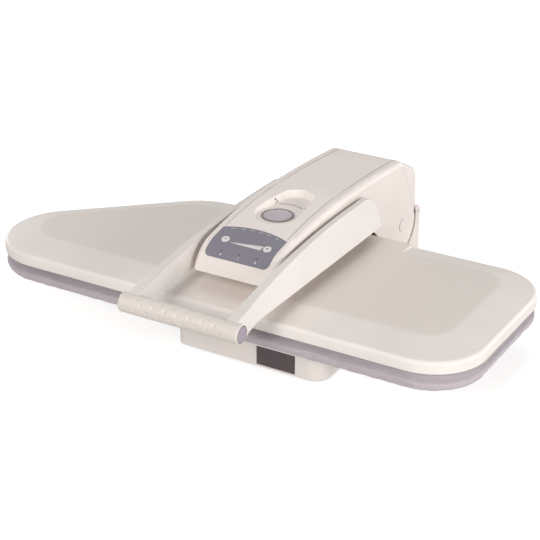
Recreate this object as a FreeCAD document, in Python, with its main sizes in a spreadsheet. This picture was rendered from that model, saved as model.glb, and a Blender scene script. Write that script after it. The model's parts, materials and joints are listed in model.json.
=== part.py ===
import FreeCAD, Part
import math
import os
import re
import Sketcher
from FreeCAD import Placement, Rotation, Vector

# Steam ironing press: a padded board on a base, a heated press head hinged behind it,
# and a lever handle on the head.  Millimetres, +X to the right, +Y to the back, +Z up.
# The origin is on the table, under the middle of the whole machine.

SIZES = {
    # Plan outline that the cover, the hot plate and the board share
    "cover_length": 1030,
    "cover_depth": 418,
    "cover_front": 244.5,
    "cover_corner": 105,
    "cover_nose": 120,
    "cover_shoulder": 140,
    "taper_angle": 42.3,
    # Heights of the press
    "foot_height": 5,
    "base_low": 4,
    "board_low": 97,
    "press_plane": 131,
    "plate_gap": 0.4,
    "rim_gap": 4,
    # Moulded press cover
    "cover_wall": 23,
    "cover_skin": 3,
    "cover_round": 8,
    "band_start": 10,
    "crown_rise": 7,
    "plateau_front": 83,
    "plateau_side": 75,
    "plateau_rear": 53,
    "plateau_corner": 50,
    "plateau_nose": 60,
    "plateau_shoulder": 95,
    "spine_half": 176,
    "spine_overlap": 30,
    "spine_round": 3,
    "boss_radius": 6,
    # Hot plate and what lies on it
    "plate_inset": 9,
    "plate_thick": 6,
    "steam_hole": 1.8,
    "steam_rows": 5,
    "steam_row_pitch": 62,
    "steam_pitch": 52,
    "steam_count": 11,
    "steam_first": 110,
    "steam_margin": 60,
    "element_radius": 4,
    "element_bend": 115,
    "element_left": 250,
    "element_right": 300,
    "element_middle": 25,
    "chamber_half": 150,
    "chamber_depth": 140,
    "chamber_height": 12.6,
    "chamber_round": 12,
    "mat_inset": 60,
    "mat_thick": 3,
    "mat_clear": 0.5,
    "thermostat_radius": 12,
    "thermostat_height": 10,
    "thermostat_side": 190,
    # Padded board
    "cloth_inset": 3,
    "cloth_draw": 8,
    "cloth_waist": 15,
    "cloth_thick": 2,
    "cloth_round": 12,
    "cloth_rise": 0.3,
    "pan_inset": 14,
    "pan_wall": 1.5,
    "pan_rim": 12,
    "foam_gap": 0.3,
    "foam_round": 10,
    # Base
    "base_left": 161,
    "base_right": 156,
    "base_front": 157,
    "base_setback": 28.25,
    "base_corner": 32,
    "base_left_corner": 14,
    "base_skin": 3,
    "base_round": 3,
    "window_left": 16,
    "window_width": 83,
    "window_low": 8,
    "window_height": 39,
    "window_depth": 2,
    "sheet_low": 5,
    "sheet_thick": 1.5,
    "sheet_gap": 0.3,
    "foot_radius": 14,
    "foot_tip": 11.5,
    "foot_inset": 26,
    "screw_inset": 14,
    "screw_shank": 2,
    "screw_head": 4,
    "screw_grip": 14,
    "post_radius": 5.5,
    "thread_gap": 0.05,
    # Hinge
    "head_offset": 50,
    "hinge_reach": 313.25,
    "hinge_height": 128,
    "knuckle_radius": 60,
    "knuckle_gap": 2,
    "tower_reach": 82,
    "tower_rise": 8,
    "tower_skin": 3,
    "tower_gap": 1.3,
    "tower_round": 10,
    "join_gap": 0.3,
    "shaft_radius": 9,
    "shaft_half": 66,
    "fit_gap": 0.05,
    "bracket_half": 58,
    "bracket_thick": 6,
    "bracket_foot": 40,
    "bracket_eye": 26,
    "clip_radius": 14,
    "clip_thick": 1.5,
    "bush_radius": 12,
    "bush_flange": 16,
    "spring_wall": 5,
    "spring_length": 30,
    "spring_start": 8,
    "spring_gap": 0.5,
    "inlet_half": 14,
    "inlet_low": 28,
    "inlet_height": 20,
    "inlet_depth": 24,
    "inlet_wall": 2.5,
    "inlet_sink": 15,
    "inlet_floor": 4,
    "pin_half": 2,
    "pin_thick": 2,
    "pin_length": 11,
    "pin_pitch": 7,
    # Head casing: an arched roof, a round nose, a slanted back
    "head_half": 83,
    "head_skin": 3,
    "head_clear": 41,
    "head_depth": 74.4,
    "head_heel": 134,
    "head_round": 11,
    "head_fall": 9.8,
    "seam_lead": 9.25,
    "crown_reach": 60,
    "nose_radius": 73,
    "nose_reach": 148.6,
    "nose_drop": 97,
    "rail_depth": 6,
    "lid_thick": 3,
    "lid_front_half": 65.4,
    "lid_rear_half": 61.6,
    "lid_front_gap": 0.2,
    "lid_rear_gap": 1,
    "lid_end_gap": 0.3,
    "lid_above": 5,
    "ledge_half": 58,
    "ledge_lead": 42.6,
    "ledge_rear": 14,
    "back_reach": 67,
    "back_rise": 14,
    "back_lean": 3.2,
    "back_knee": 54.6,
    "back_round": 30.5,
    "back_slope_run": 56,
    "back_slope_fall": 29.1,
    "back_gap": 0.6,
    "cap_radius": 13,
    "cap_proud": 1.3,
    "cap_stem": 8.5,
    "cap_depth": 5,
    "cap_gap": 0.3,
    # Scoop and steam button in the lid
    "scoop_front_half": 50,
    "scoop_rear_half": 36,
    "scoop_length": 69,
    "scoop_depth": 13.4,
    "scoop_slope": 9,
    "scoop_skin": 3,
    "button_setback": 96.6,
    "button_radius": 27,
    "button_gap": 0.5,
    "button_dome": 4,
    "button_body": 8,
    "button_travel": 2.5,
    "bezel_width": 3.5,
    "bezel_rise": 1.5,
    "bezel_grip": 5,
    "stem_radius": 5,
    "switch_half": 8,
    "switch_height": 8,
    # Control panel
    "panel_half": 67,
    "panel_lead": 14.6,
    "panel_bow": 13.5,
    "panel_reach": 53.9,
    "panel_round": 9,
    "panel_end_angle": 62,
    "panel_thick": 2.6,
    "panel_proud": 0.4,
    "panel_gap": 0.3,
    "panel_ledge": 9,
    "window_lead": 6.6,
    "window_reach": 40.4,
    "print_shift": 2,
    "key_angle": 14.6,
    "key_side": 44,
    "key_radius": 7.8,
    "key_gap": 0.3,
    "key_proud": 1.2,
    "key_length": 3.9,
    "lens_angle": 35.5,
    "lens_side": 36.5,
    "lens_radius": 2,
    "lens_proud": 0.2,
    "lens_length": 2.7,
    "circuit_half": 52,
    "circuit_thick": 1.6,
    "circuit_gap": 0.4,
    "circuit_margin": 0.5,
    # Head frame and the water parts that it carries
    "frame_half": 48,
    "frame_wall": 4,
    "frame_front": 70,
    "frame_rise": 26,
    "frame_shoulder": 123.25,
    "frame_eye": 22,
    "frame_neck": 50,
    "frame_gap": 0.3,
    "hanger_half": 38,
    "hanger_depth": 50,
    "hanger_round": 20,
    "hanger_wall": 6,
    "hanger_clear": 1,
    "boot_width": 8,
    "boot_height": 10,
    "boot_gap": 0.4,
    "pipe_radius": 4,
    "pipe_bore": 5,
    "pipe_reach": 24,
    "pipe_bend": 8,
    "pump_radius": 9,
    "pump_length": 54,
    "pump_gap": 0.3,
    "tank_front": 100,
    "tank_setback": 22,
    "tank_half": 56,
    "tank_height": 22,
    "tank_round": 8,
    "tank_gap": 0.3,
    # Handle
    "bar_reach": 377.25,
    "bar_drop": 7,
    "bar_radius": 18,
    "bar_half": 122,
    "end_radius": 14.5,
    "end_depth": 4,
    "end_gap": 0.3,
    "arm_inner": 91,
    "arm_top_half": 103,
    "arm_low_half": 121.5,
    "arm_top_rise": 57,
    "arm_low_drop": 9,
    "arm_straight": 40,
    "arm_rear": 148,
    "arm_round": 44,
    "arm_heel": 7,
    "arm_lip": 3,
    "arm_edge": 3,
    "arm_throat": 300,
    "arm_bow": 60,
    "pull_reach": 88,
    "pull_rise": 10,
    "pull_radius": 7,
    "pull_depth": 14,
    "pull_bush": 9.5,
    "pull_clear": 0.5,
}

# Heights and places that several pieces share, as expressions of the sizes
RIM = "(press_plane + rim_gap)"
WALL_TOP = f"({RIM} + cover_wall)"
CROWN = f"({WALL_TOP} + crown_rise)"
PLATE_LOW = "(press_plane + plate_gap)"
PLATE_TOP = f"({PLATE_LOW} + plate_thick)"
CHAMBER_TOP = f"({PLATE_TOP} + chamber_height)"
COVER_REAR = "(cover_depth - cover_front)"
HEAD_LOW = f"({CROWN} + head_clear)"
HEAD_TOP = f"({HEAD_LOW} + head_depth)"
HEAD_REAR = "(hinge_reach - seam_lead)"
HEAD_REAR_TOP = f"({HEAD_TOP} - head_fall)"
NOSE_HEIGHT = f"({HEAD_TOP} - nose_drop)"
NOSE_RUN = "(crown_reach + nose_reach)"
NOSE_BOW = f"(({NOSE_RUN}^2 + nose_drop^2 - nose_radius^2) / (2 * (nose_drop - nose_radius)))"
REAR_BOW = f"((({HEAD_REAR} - crown_reach)^2 + head_fall^2) / (2 * head_fall))"
FLOOR_TOP = f"({HEAD_LOW} + head_skin)"
FRAME_TOP = f"({FLOOR_TOP} + frame_rise)"
WEB_LOW = f"({FRAME_TOP} - frame_wall)"
SCOOP_FLOOR = f"({HEAD_TOP} - scoop_depth)"
BUTTON_AWAY = "(button_setback - nose_reach)"
PANEL_CORNER = "(nose_reach - panel_lead)"
PANEL_FOOT = "(nose_reach + panel_reach)"
WINDOW_REAR = "(nose_reach - window_lead)"
WINDOW_FRONT = "(nose_reach + window_reach)"
PANEL_BOW = "((panel_half^2 + panel_bow^2) / (2 * panel_bow))"
BAR_HEIGHT = f"({HEAD_LOW} - bar_drop)"
ARM_TOP = f"({HEAD_LOW} + arm_top_rise)"
ARM_LOW = f"({HEAD_LOW} - arm_low_drop)"
PULL_HEIGHT = f"({FLOOR_TOP} + pull_rise)"
BASE_REAR = "(hinge_reach - base_setback)"
SHEET_TOP = "(sheet_low + sheet_thick)"
TOWER_HALF = "(head_half + tower_gap + tower_skin)"
TOWER_REAR = "(hinge_reach + tower_reach)"
TOWER_FRONT = f"({BASE_REAR} + join_gap)"
NAME = re.compile(r"\b[a-z]+(?:_[a-z]+)+\b")

doc = FreeCAD.newDocument("steam_press")
size = doc.addObject("Spreadsheet::Sheet", "size")
pieces = []


def fill_sheet():
    """Write every driving size into the sheet under its own name."""
    for row, (name, measure) in enumerate(SIZES.items(), start=1):
        size.set(f"A{row}", name)
        size.set(f"B{row}", str(measure))
        size.setAlias(f"B{row}", name)
    doc.recompute()


def cell(text):
    """Expression in which each size name points at its cell."""
    return NAME.sub(r"size.\g<0>", text)


def number(text):
    """Present value of an expression of the sizes."""
    return float(size.evalExpression(cell(text)))


def bind(item, **sizes):
    """Bind properties of an object to expressions of the sizes."""
    for prop, text in sizes.items():
        item.setExpression(prop, cell(text))


def keep(item, label):
    """Name a finished piece and put it on the list of pieces."""
    item.Label = label
    pieces.append(item)
    return item


def new_body(label):
    """Empty body for one piece."""
    return keep(doc.addObject("PartDesign::Body", label), label)


def sketch(body, role, offset):
    """Sketch on one of the body's own planes, moved along that plane's normal."""
    made = body.newObject("Sketcher::SketchObject", f"{body.Name}_sketch")
    plane = next(item for item in body.Origin.OriginFeatures if item.Role == role)
    made.AttachmentSupport = [(plane, "")]
    made.MapMode = "FlatFace"
    made.setExpression("AttachmentOffset.Base.z", cell(offset))
    return made


def measure(drawing, constraint, text):
    """Add a dimension to a sketch and bind it."""
    place = drawing.addConstraint(constraint)
    drawing.setExpression(f"Constraints[{place}]", cell(text))


def locate(drawing, piece, point, across, up):
    """Place a point of a sketch by its two distances from the origin."""
    for kind, text in (("DistanceX", across), ("DistanceY", up)):
        if text:
            measure(drawing, Sketcher.Constraint(kind, -1, 1, piece, point, number(text)), text)


def arc_between(start, end, radius, turn):
    """Arc of less than half a circle; turn is 1 for anticlockwise and -1 for clockwise."""
    chord = end - start
    height = math.sqrt(max(radius ** 2 - chord.Length ** 2 / 4, 0))
    side = Vector(-chord.y, chord.x, 0).normalize()
    centre = (start + end) * 0.5 + side * height * turn
    ends = (start, end) if turn > 0 else (end, start)
    angles = [math.atan2(point.y - centre.y, point.x - centre.x) for point in ends]
    return Part.ArcOfCircle(Part.Circle(centre, Vector(0, 0, 1), radius), *angles)


def path(drawing, corners):
    """Closed outline; a corner is (across, up), with (radius, turn) where an arc leaves it."""
    points = [Vector(number(corner[0]), number(corner[1]), 0) for corner in corners]
    count = len(corners)
    ends = []
    for place, corner in enumerate(corners):
        start, end = points[place], points[(place + 1) % count]
        if len(corner) == 2:
            drawing.addGeometry(Part.LineSegment(start, end))
            ends.append((1, 2))
        else:
            drawing.addGeometry(arc_between(start, end, number(corner[2]), corner[3]))
            ends.append((1, 2) if corner[3] > 0 else (2, 1))
    for place, corner in enumerate(corners):
        after = (place + 1) % count
        joint = Sketcher.Constraint("Coincident", place, ends[place][1], after, ends[after][0])
        drawing.addConstraint(joint)
        locate(drawing, place, ends[place][0], corner[0], corner[1])
        if len(corner) > 2:
            radius = Sketcher.Constraint("Radius", place, number(corner[2]))
            measure(drawing, radius, corner[2])
    return drawing


def rectangle(drawing, left, right, low, high):
    """Rectangle between two distances across and two distances up."""
    return path(drawing, [(left, low), (right, low), (right, high), (left, high)])


def discs(drawing, places, radius):
    """Circles of one radius at the given places."""
    for across, up in places:
        circle = Part.Circle(Vector(number(across), number(up), 0), Vector(0, 0, 1), number(radius))
        piece = drawing.addGeometry(circle)
        locate(drawing, piece, 3, across, up)
        measure(drawing, Sketcher.Constraint("Radius", piece, number(radius)), radius)
    return drawing


def pad(body, drawing, length):
    """Extrude a sketch along its normal."""
    made = body.newObject("PartDesign::Pad", f"{body.Name}_pad")
    made.Profile = drawing
    bind(made, Length=length)
    doc.recompute()
    return made


def pocket(body, drawing, length):
    """Cut a sketch against its normal, and make sure that it removes material."""
    before = body.Shape.Volume
    made = body.newObject("PartDesign::Pocket", f"{body.Name}_pocket")
    made.Profile = drawing
    bind(made, Length=length)
    doc.recompute()
    if before - body.Shape.Volume < 1:
        raise RuntimeError(f"{body.Label}: a pocket cuts nothing")
    return made


def fillet(body, base, radius, chosen):
    """Round the edges of a feature that a test picks."""
    edges = [f"Edge{place}" for place, edge in enumerate(base.Shape.Edges, start=1) if chosen(edge)]
    made = body.newObject("PartDesign::Fillet", f"{body.Name}_fillet")
    made.Base = (base, edges)
    bind(made, Radius=radius)
    doc.recompute()
    return made


def level(height):
    """Test for edges that lie flat at one height."""
    target = number(height)

    def chosen(edge):
        box = edge.BoundBox
        return box.ZLength < 0.01 and abs(box.ZMin - target) < 0.01
    return chosen


def upright(edge):
    """Test for straight vertical edges."""
    box = edge.BoundBox
    return box.XLength < 0.01 and box.YLength < 0.01


def lengthwise(across, above):
    """Test for edges in a plane of constant X, above one height."""
    target, floor = number(across), number(above)

    def chosen(edge):
        box = edge.BoundBox
        flat = box.XLength < 0.01 and abs(box.XMin - target) < 0.01
        return flat and box.Center.z > floor
    return chosen


def rod(name, start, length, away, up, radius):
    """Cylinder along X."""
    made = doc.addObject("Part::Cylinder", name)
    made.Placement = Placement(Vector(), Rotation(Vector(0, 1, 0), 90))
    bind(made, Radius=radius, Height=length)
    for axis, text in zip("xyz", (start, away, up)):
        made.setExpression(f"Placement.Base.{axis}", cell(text))
    return made


def post(name, across, away, low, height, radius):
    """Upright cylinder."""
    made = doc.addObject("Part::Cylinder", name)
    bind(made, Radius=radius, Height=height)
    for axis, text in zip("xyz", (across, away, low)):
        made.setExpression(f"Placement.Base.{axis}", cell(text))
    return made


def less(name, base, tool):
    """One shape cut by another."""
    made = doc.addObject("Part::Cut", name)
    made.Base = base
    made.Tool = tool
    return made


def joined(name, shapes):
    """Shapes fused into one solid."""
    made = doc.addObject("Part::MultiFuse", name)
    made.Shapes = shapes
    return made


def group(label, shapes):
    """Separate solids that share one node."""
    made = doc.addObject("Part::Compound", label)
    made.Links = shapes
    return keep(made, label)


def plan(drawing, front, right, rear, corner, nose, shoulder):
    """Plan outline: straight front, two round right corners, shoulder, taper and round nose."""
    yf, xr, yr = number(front), number(right), number(rear)
    rc, rn, rs = number(corner), number(nose), number(shoulder)
    nose_across = "cover_nose - cover_length / 2"
    xn = number(nose_across)
    slope = math.radians(number("taper_angle"))
    out = Vector(-math.sin(slope), math.cos(slope), 0)
    xs = xn + (math.cos(slope) * (yr - rs - yf - rn) - rn + rs) / math.sin(slope)
    nose_centre = Vector(xn, yf + rn, 0)
    shoulder_centre = Vector(xs, yr - rs, 0)

    def arc(centre, radius, start, end):
        circle = Part.Circle(centre, Vector(0, 0, 1), radius)
        return Part.ArcOfCircle(circle, start, end)

    quarter = math.pi / 2
    drawing.addGeometry([
        Part.LineSegment(Vector(xn, yf, 0), Vector(xr - rc, yf, 0)),
        arc(Vector(xr - rc, yf + rc, 0), rc, -quarter, 0),
        Part.LineSegment(Vector(xr, yf + rc, 0), Vector(xr, yr - rc, 0)),
        arc(Vector(xr - rc, yr - rc, 0), rc, 0, quarter),
        Part.LineSegment(Vector(xr - rc, yr, 0), Vector(xs, yr, 0)),
        arc(shoulder_centre, rs, quarter, quarter + slope),
        Part.LineSegment(nose_centre + out * rn, shoulder_centre + out * rs),
        arc(nose_centre, rn, quarter + slope, 3 * quarter),
    ])
    front_line, right_line, rear_line, taper_line, nose_arc = 0, 2, 4, 6, 7
    joints = [(0, 2, 1, 1), (1, 2, 2, 1), (2, 2, 3, 1), (3, 2, 4, 1),
              (4, 2, 5, 1), (5, 2, 6, 2), (6, 1, 7, 1), (7, 2, 0, 1)]
    for joint in joints:
        drawing.addConstraint(Sketcher.Constraint("Tangent", *joint))
    drawing.addConstraint(Sketcher.Constraint("Horizontal", front_line))
    drawing.addConstraint(Sketcher.Constraint("Vertical", right_line))
    drawing.addConstraint(Sketcher.Constraint("Horizontal", rear_line))
    measure(drawing, Sketcher.Constraint("Angle", taper_line, slope), "taper_angle * 1 deg")
    for piece, text in ((1, corner), (3, corner), (5, shoulder), (nose_arc, nose)):
        measure(drawing, Sketcher.Constraint("Radius", piece, number(text)), text)
    locate(drawing, front_line, 2, "", front)
    locate(drawing, right_line, 1, right, "")
    locate(drawing, rear_line, 1, "", rear)
    locate(drawing, nose_arc, 3, nose_across, "")
    return drawing


def inset_plan(body, height, inset):
    """Cover's outline drawn in by one distance all round."""
    return plan(sketch(body, "XY_Plane", height),
                f"{inset} - cover_front",
                f"cover_length / 2 - {inset}",
                f"{COVER_REAR} - {inset}",
                f"cover_corner - {inset}",
                f"cover_nose - {inset}",
                f"cover_shoulder - {inset}")


def plateau_plan(body, height, inset):
    """Outline of the raised middle of the cover, drawn in by one distance."""
    return plan(sketch(body, "XY_Plane", height),
                f"plateau_front + {inset} - cover_front",
                f"cover_length / 2 - plateau_side - {inset}",
                f"{COVER_REAR} - plateau_rear - {inset}",
                f"plateau_corner - {inset}",
                f"plateau_nose - {inset}",
                f"plateau_shoulder - {inset}")


def hanger_plan(body, height, grow):
    """Plan of the pillar that carries the hot plate, grown by one distance."""
    half = f"(hanger_half + {grow})"
    depth = f"(hanger_depth + {grow})"
    round_out = f"(hanger_round + {grow})"
    left, right = f"head_offset - {half}", f"head_offset + {half}"
    in_left, in_right = f"{left} + {round_out}", f"{right} - {round_out}"
    corners = [
        (in_left, f"-{depth}"),
        (in_right, f"-{depth}", round_out, 1),
        (right, f"{round_out} - {depth}"),
        (right, f"{depth} - {round_out}", round_out, 1),
        (in_right, depth),
        (in_left, depth, round_out, 1),
        (left, f"{depth} - {round_out}"),
        (left, f"{round_out} - {depth}", round_out, 1),
    ]
    return path(sketch(body, "XY_Plane", height), corners)


def boss_places():
    """Screw bosses at the centres of the cover's four round corners."""
    slope = "(taper_angle * 1 deg)"
    shoulder_across = (f"cover_nose - cover_length / 2 + (cos{slope} * (cover_depth - cover_shoulder"
                       f" - cover_nose) - cover_nose + cover_shoulder) / sin{slope}")
    return [
        ("cover_nose - cover_length / 2", "cover_nose - cover_front"),
        (shoulder_across, f"{COVER_REAR} - cover_shoulder"),
        ("cover_length / 2 - cover_corner", "cover_corner - cover_front"),
        ("cover_length / 2 - cover_corner", f"{COVER_REAR} - cover_corner"),
    ]


def press_cover():
    """Moulded lid of the press: wall, sloping band, raised middle and screw bosses, open below."""
    body = new_body("press_cover")
    wall = pad(body, inset_plan(body, RIM, "0"), "cover_wall")
    fillet(body, wall, "cover_round", level(WALL_TOP))
    crown = body.newObject("PartDesign::AdditiveLoft", "press_cover_crown")
    crown.Profile = inset_plan(body, WALL_TOP, "band_start")
    crown.Sections = [plateau_plan(body, CROWN, "0")]
    crown.Ruled = True
    doc.recompute()
    spine = sketch(body, "XY_Plane", WALL_TOP)
    rectangle(spine, "head_offset - spine_half", "head_offset + spine_half",
              f"{COVER_REAR} - plateau_rear - spine_overlap", f"{COVER_REAR} - band_start")
    pad(body, spine, "crown_rise")
    pocket(body, inset_plan(body, f"{WALL_TOP} - cover_skin", "cover_skin"), "cover_wall - cover_skin")
    pocket(body, plateau_plan(body, f"{CROWN} - cover_skin", "cover_skin"), "crown_rise")
    bosses = sketch(body, "XY_Plane", PLATE_TOP)
    discs(bosses, boss_places(), "boss_radius")
    pad(body, bosses, f"{CROWN} - cover_skin / 2 - {PLATE_TOP}")
    pocket(body, hanger_plan(body, f"{CROWN} + cover_skin", "hanger_clear"), "3 * cover_skin")


def heating_plate():
    """Aluminium pressing plate with rows of steam holes."""
    body = new_body("heating_plate")
    pad(body, inset_plan(body, PLATE_LOW, "plate_inset"), "plate_thick")
    holes = sketch(body, "XY_Plane", PLATE_TOP)
    rows = int(number("steam_rows"))
    discs(holes, [("-steam_first", f"steam_margin + {row} * steam_row_pitch - cover_front")
                  for row in range(rows)], "steam_hole")
    first = pocket(body, holes, "2 * plate_thick")
    pattern = body.newObject("PartDesign::LinearPattern", "heating_plate_pattern")
    pattern.Originals = [first]
    pattern.Direction = (holes, ["H_Axis"])
    bind(pattern, Length="steam_pitch * (steam_count - 1)", Occurrences="steam_count")
    body.Tip = pattern
    doc.recompute()


def heating_element():
    """Tubular element bent in a long U on the plate."""
    body = new_body("heating_element")
    line = sketch(body, "XY_Plane", f"{PLATE_TOP} + element_radius")
    start, turn = number("-element_left"), number("element_right")
    middle, bend = number("-element_middle"), number("element_bend")
    low, high = middle - bend, middle + bend
    circle = Part.Circle(Vector(turn, middle, 0), Vector(0, 0, 1), bend)
    line.addGeometry([
        Part.LineSegment(Vector(start, low, 0), Vector(turn, low, 0)),
        Part.ArcOfCircle(circle, -math.pi / 2, math.pi / 2),
        Part.LineSegment(Vector(turn, high, 0), Vector(start, high, 0)),
    ])
    line.addConstraint(Sketcher.Constraint("Tangent", 0, 2, 1, 1))
    line.addConstraint(Sketcher.Constraint("Tangent", 1, 2, 2, 1))
    line.addConstraint(Sketcher.Constraint("Horizontal", 0))
    locate(line, 0, 1, "-element_left", "-element_middle - element_bend")
    locate(line, 1, 3, "element_right", "-element_middle")
    locate(line, 2, 2, "-element_left", "")
    section = sketch(body, "YZ_Plane", "-element_left")
    discs(section, [("-element_middle - element_bend", f"{PLATE_TOP} + element_radius")],
          "element_radius")
    tube = body.newObject("PartDesign::AdditivePipe", "heating_element_tube")
    tube.Profile = section
    tube.Spine = (line, ["Edge1", "Edge2", "Edge3"])
    doc.recompute()


def steam_chamber():
    """Flat chest on the plate, where the water turns to steam."""
    body = new_body("steam_chamber")
    chest = sketch(body, "XY_Plane", PLATE_TOP)
    rectangle(chest, "head_offset - chamber_half", "head_offset + chamber_half",
              "-chamber_depth / 2", "chamber_depth / 2")
    block = pad(body, chest, "chamber_height")
    fillet(body, block, "chamber_round", upright)


def insulation_mat():
    """Mat over the chest that keeps the heat off the cover."""
    body = new_body("insulation_mat")
    pad(body, inset_plan(body, CHAMBER_TOP, "mat_inset"), "mat_thick")
    pocket(body, hanger_plan(body, f"{CHAMBER_TOP} + mat_thick", "mat_clear"), "2 * mat_thick")
    holes = sketch(body, "XY_Plane", f"{CHAMBER_TOP} + mat_thick")
    discs(holes, boss_places(), "boss_radius + mat_clear")
    pocket(body, holes, "2 * mat_thick")


def thermostat():
    """Disc thermostat on the plate."""
    keep(post("thermostat", "head_offset + thermostat_side", "-element_middle", PLATE_TOP,
              "thermostat_height", "thermostat_radius"), "thermostat")


def plate_hanger():
    """Hollow cast pillar from the head frame down to the chest, bored for the steam pipe."""
    body = new_body("plate_hanger")
    pad(body, hanger_plan(body, CHAMBER_TOP, "0"), f"{WEB_LOW} - {CHAMBER_TOP}")
    pocket(body, hanger_plan(body, WEB_LOW, "(0 - hanger_wall)"),
           f"{WEB_LOW} - {CHAMBER_TOP} - hanger_wall")
    bore = sketch(body, "XY_Plane", WEB_LOW)
    discs(bore, [("head_offset", "pipe_reach")], "pipe_bore")
    pocket(body, bore, f"{WEB_LOW} - {CHAMBER_TOP}")


def hanger_boot():
    """Rubber boot that closes the cover round the pillar."""
    body = new_body("hanger_boot")
    ring = pad(body, hanger_plan(body, CROWN, "boot_width"), "boot_height")
    fillet(body, ring, "boot_width / 2", level(f"{CROWN} + boot_height"))
    pocket(body, hanger_plan(body, f"{CROWN} + boot_height", "boot_gap"), "boot_height")


def head_frame():
    """Steel channel from the hinge to the pillar."""
    body = new_body("head_frame")
    side = sketch(body, "YZ_Plane", "head_offset - frame_half")
    corners = [
        ("-frame_front", FLOOR_TOP),
        ("head_heel + 4 * frame_wall", FLOOR_TOP),
        ("hinge_reach - frame_eye", "hinge_height - frame_eye"),
        ("hinge_reach + frame_eye", "hinge_height - frame_eye"),
        ("hinge_reach + frame_eye", "hinge_height + frame_eye"),
        ("hinge_reach - frame_eye", "hinge_height + frame_neck"),
        ("hinge_reach - frame_shoulder", FRAME_TOP),
        ("-frame_front", FRAME_TOP),
    ]
    block = pad(body, path(side, corners), "2 * frame_half")

    def eye_edge(edge):
        box = edge.BoundBox
        across = box.YLength < 0.01 and box.ZLength < 0.01
        return across and box.Center.y > number("hinge_reach") and number("hinge_height") > box.Center.z
    fillet(body, block, "frame_eye * 0.9", eye_edge)
    inner = sketch(body, "YZ_Plane", "head_offset + frame_half - frame_wall")
    inside = [
        ("-frame_front - 1", f"{FLOOR_TOP} - 1"),
        ("hinge_reach - 2 * frame_eye", "hinge_height - 2 * frame_eye"),
        ("hinge_reach + 2 * frame_eye", "hinge_height - 2 * frame_eye"),
        ("hinge_reach + 2 * frame_eye", "hinge_height + 2 * frame_neck"),
        ("hinge_reach - frame_eye - frame_wall", "hinge_height + 2 * frame_neck"),
        ("hinge_reach - frame_eye - frame_wall", "hinge_height + frame_neck - frame_wall"),
        ("hinge_reach - frame_shoulder - frame_wall / 2", WEB_LOW),
        ("-frame_front - 1", WEB_LOW),
    ]
    pocket(body, path(inner, inside), "2 * (frame_half - frame_wall)")
    eyes = sketch(body, "YZ_Plane", "head_offset + frame_half")
    discs(eyes, [("hinge_reach", "hinge_height")], "bush_radius + fit_gap")
    pocket(body, eyes, "2 * frame_half")
    pulls = sketch(body, "YZ_Plane", "head_offset + frame_half")
    discs(pulls, [("pull_reach", PULL_HEIGHT)], "pull_bush + fit_gap")
    pocket(body, pulls, "2 * frame_half")
    drain = sketch(body, "XY_Plane", FRAME_TOP)
    discs(drain, [("head_offset", "pipe_reach")], "pipe_bore")
    pocket(body, drain, "2 * frame_wall")


def roof(away, offset):
    """Height of the front part of the roof, moved out by one distance."""
    return f"({HEAD_TOP} - {NOSE_BOW} + sqrt(({NOSE_BOW} + ({offset}))^2 - (({away}) - crown_reach)^2))"


def rear_roof(away, offset):
    """Height of the rear part of the roof, moved out by one distance."""
    return f"({HEAD_TOP} - {REAR_BOW} + sqrt(({REAR_BOW} + ({offset}))^2 - (({away}) - crown_reach)^2))"


def brow(offset):
    """Point where the roof runs into the round nose, moved out by one distance."""
    reach = f"({NOSE_BOW} - nose_radius)"
    out = f"(nose_radius + ({offset}))"
    return (f"-nose_reach - {out} * {NOSE_RUN} / {reach}",
            f"{NOSE_HEIGHT} + {out} * ({NOSE_BOW} - nose_drop) / {reach}")


def nose_point(offset, angle):
    """Point of the round nose at an angle ahead of the vertical, moved out by one distance."""
    out = f"(nose_radius + ({offset}))"
    return (f"-nose_reach - {out} * sin({angle} * 1 deg)",
            f"{NOSE_HEIGHT} + {out} * cos({angle} * 1 deg)")


def nose_band(name, half, inner, outer):
    """Curved sheet over the brow and the nose, between two distances from the casing's skin."""
    body = doc.addObject("PartDesign::Body", name)
    drawing = sketch(body, "YZ_Plane", f"head_offset - ({half})")
    start = f"2 * panel_bow - {PANEL_CORNER}"
    corners = [
        (start, roof(start, inner)),
        (start, roof(start, outer), f"{NOSE_BOW} + ({outer})", 1),
        brow(outer) + (f"nose_radius + ({outer})", 1),
        nose_point(outer, "panel_end_angle"),
        nose_point(inner, "panel_end_angle") + (f"nose_radius + ({inner})", -1),
        brow(inner) + (f"{NOSE_BOW} + ({inner})", -1),
    ]
    pad(body, path(drawing, corners), f"2 * ({half})")
    return body


def roof_strip(name, half, inner, outer):
    """Curved sheet over the whole roof, between two distances from the casing's skin."""
    body = doc.addObject("PartDesign::Body", name)
    drawing = sketch(body, "YZ_Plane", f"head_offset - ({half})")
    front = f"-{PANEL_CORNER} - panel_gap"
    corners = [
        (front, roof(front, inner), f"{NOSE_BOW} + ({inner})", -1),
        ("crown_reach", f"{HEAD_TOP} + ({inner})", f"{REAR_BOW} + ({inner})", -1),
        (HEAD_REAR, rear_roof(HEAD_REAR, inner)),
        (HEAD_REAR, rear_roof(HEAD_REAR, outer), f"{REAR_BOW} + ({outer})", 1),
        ("crown_reach", f"{HEAD_TOP} + ({outer})", f"{NOSE_BOW} + ({outer})", 1),
        (front, roof(front, outer)),
    ]
    pad(body, path(drawing, corners), f"2 * ({half})")
    return body


def panel_edge(across, grow):
    """Y of the panel's bowed top edge at one distance from its middle, grown by a gap."""
    centre = f"(panel_bow - {PANEL_CORNER} - {PANEL_BOW})"
    return f"({centre} + sqrt(({PANEL_BOW} + ({grow}))^2 - ({across})^2))"


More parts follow.
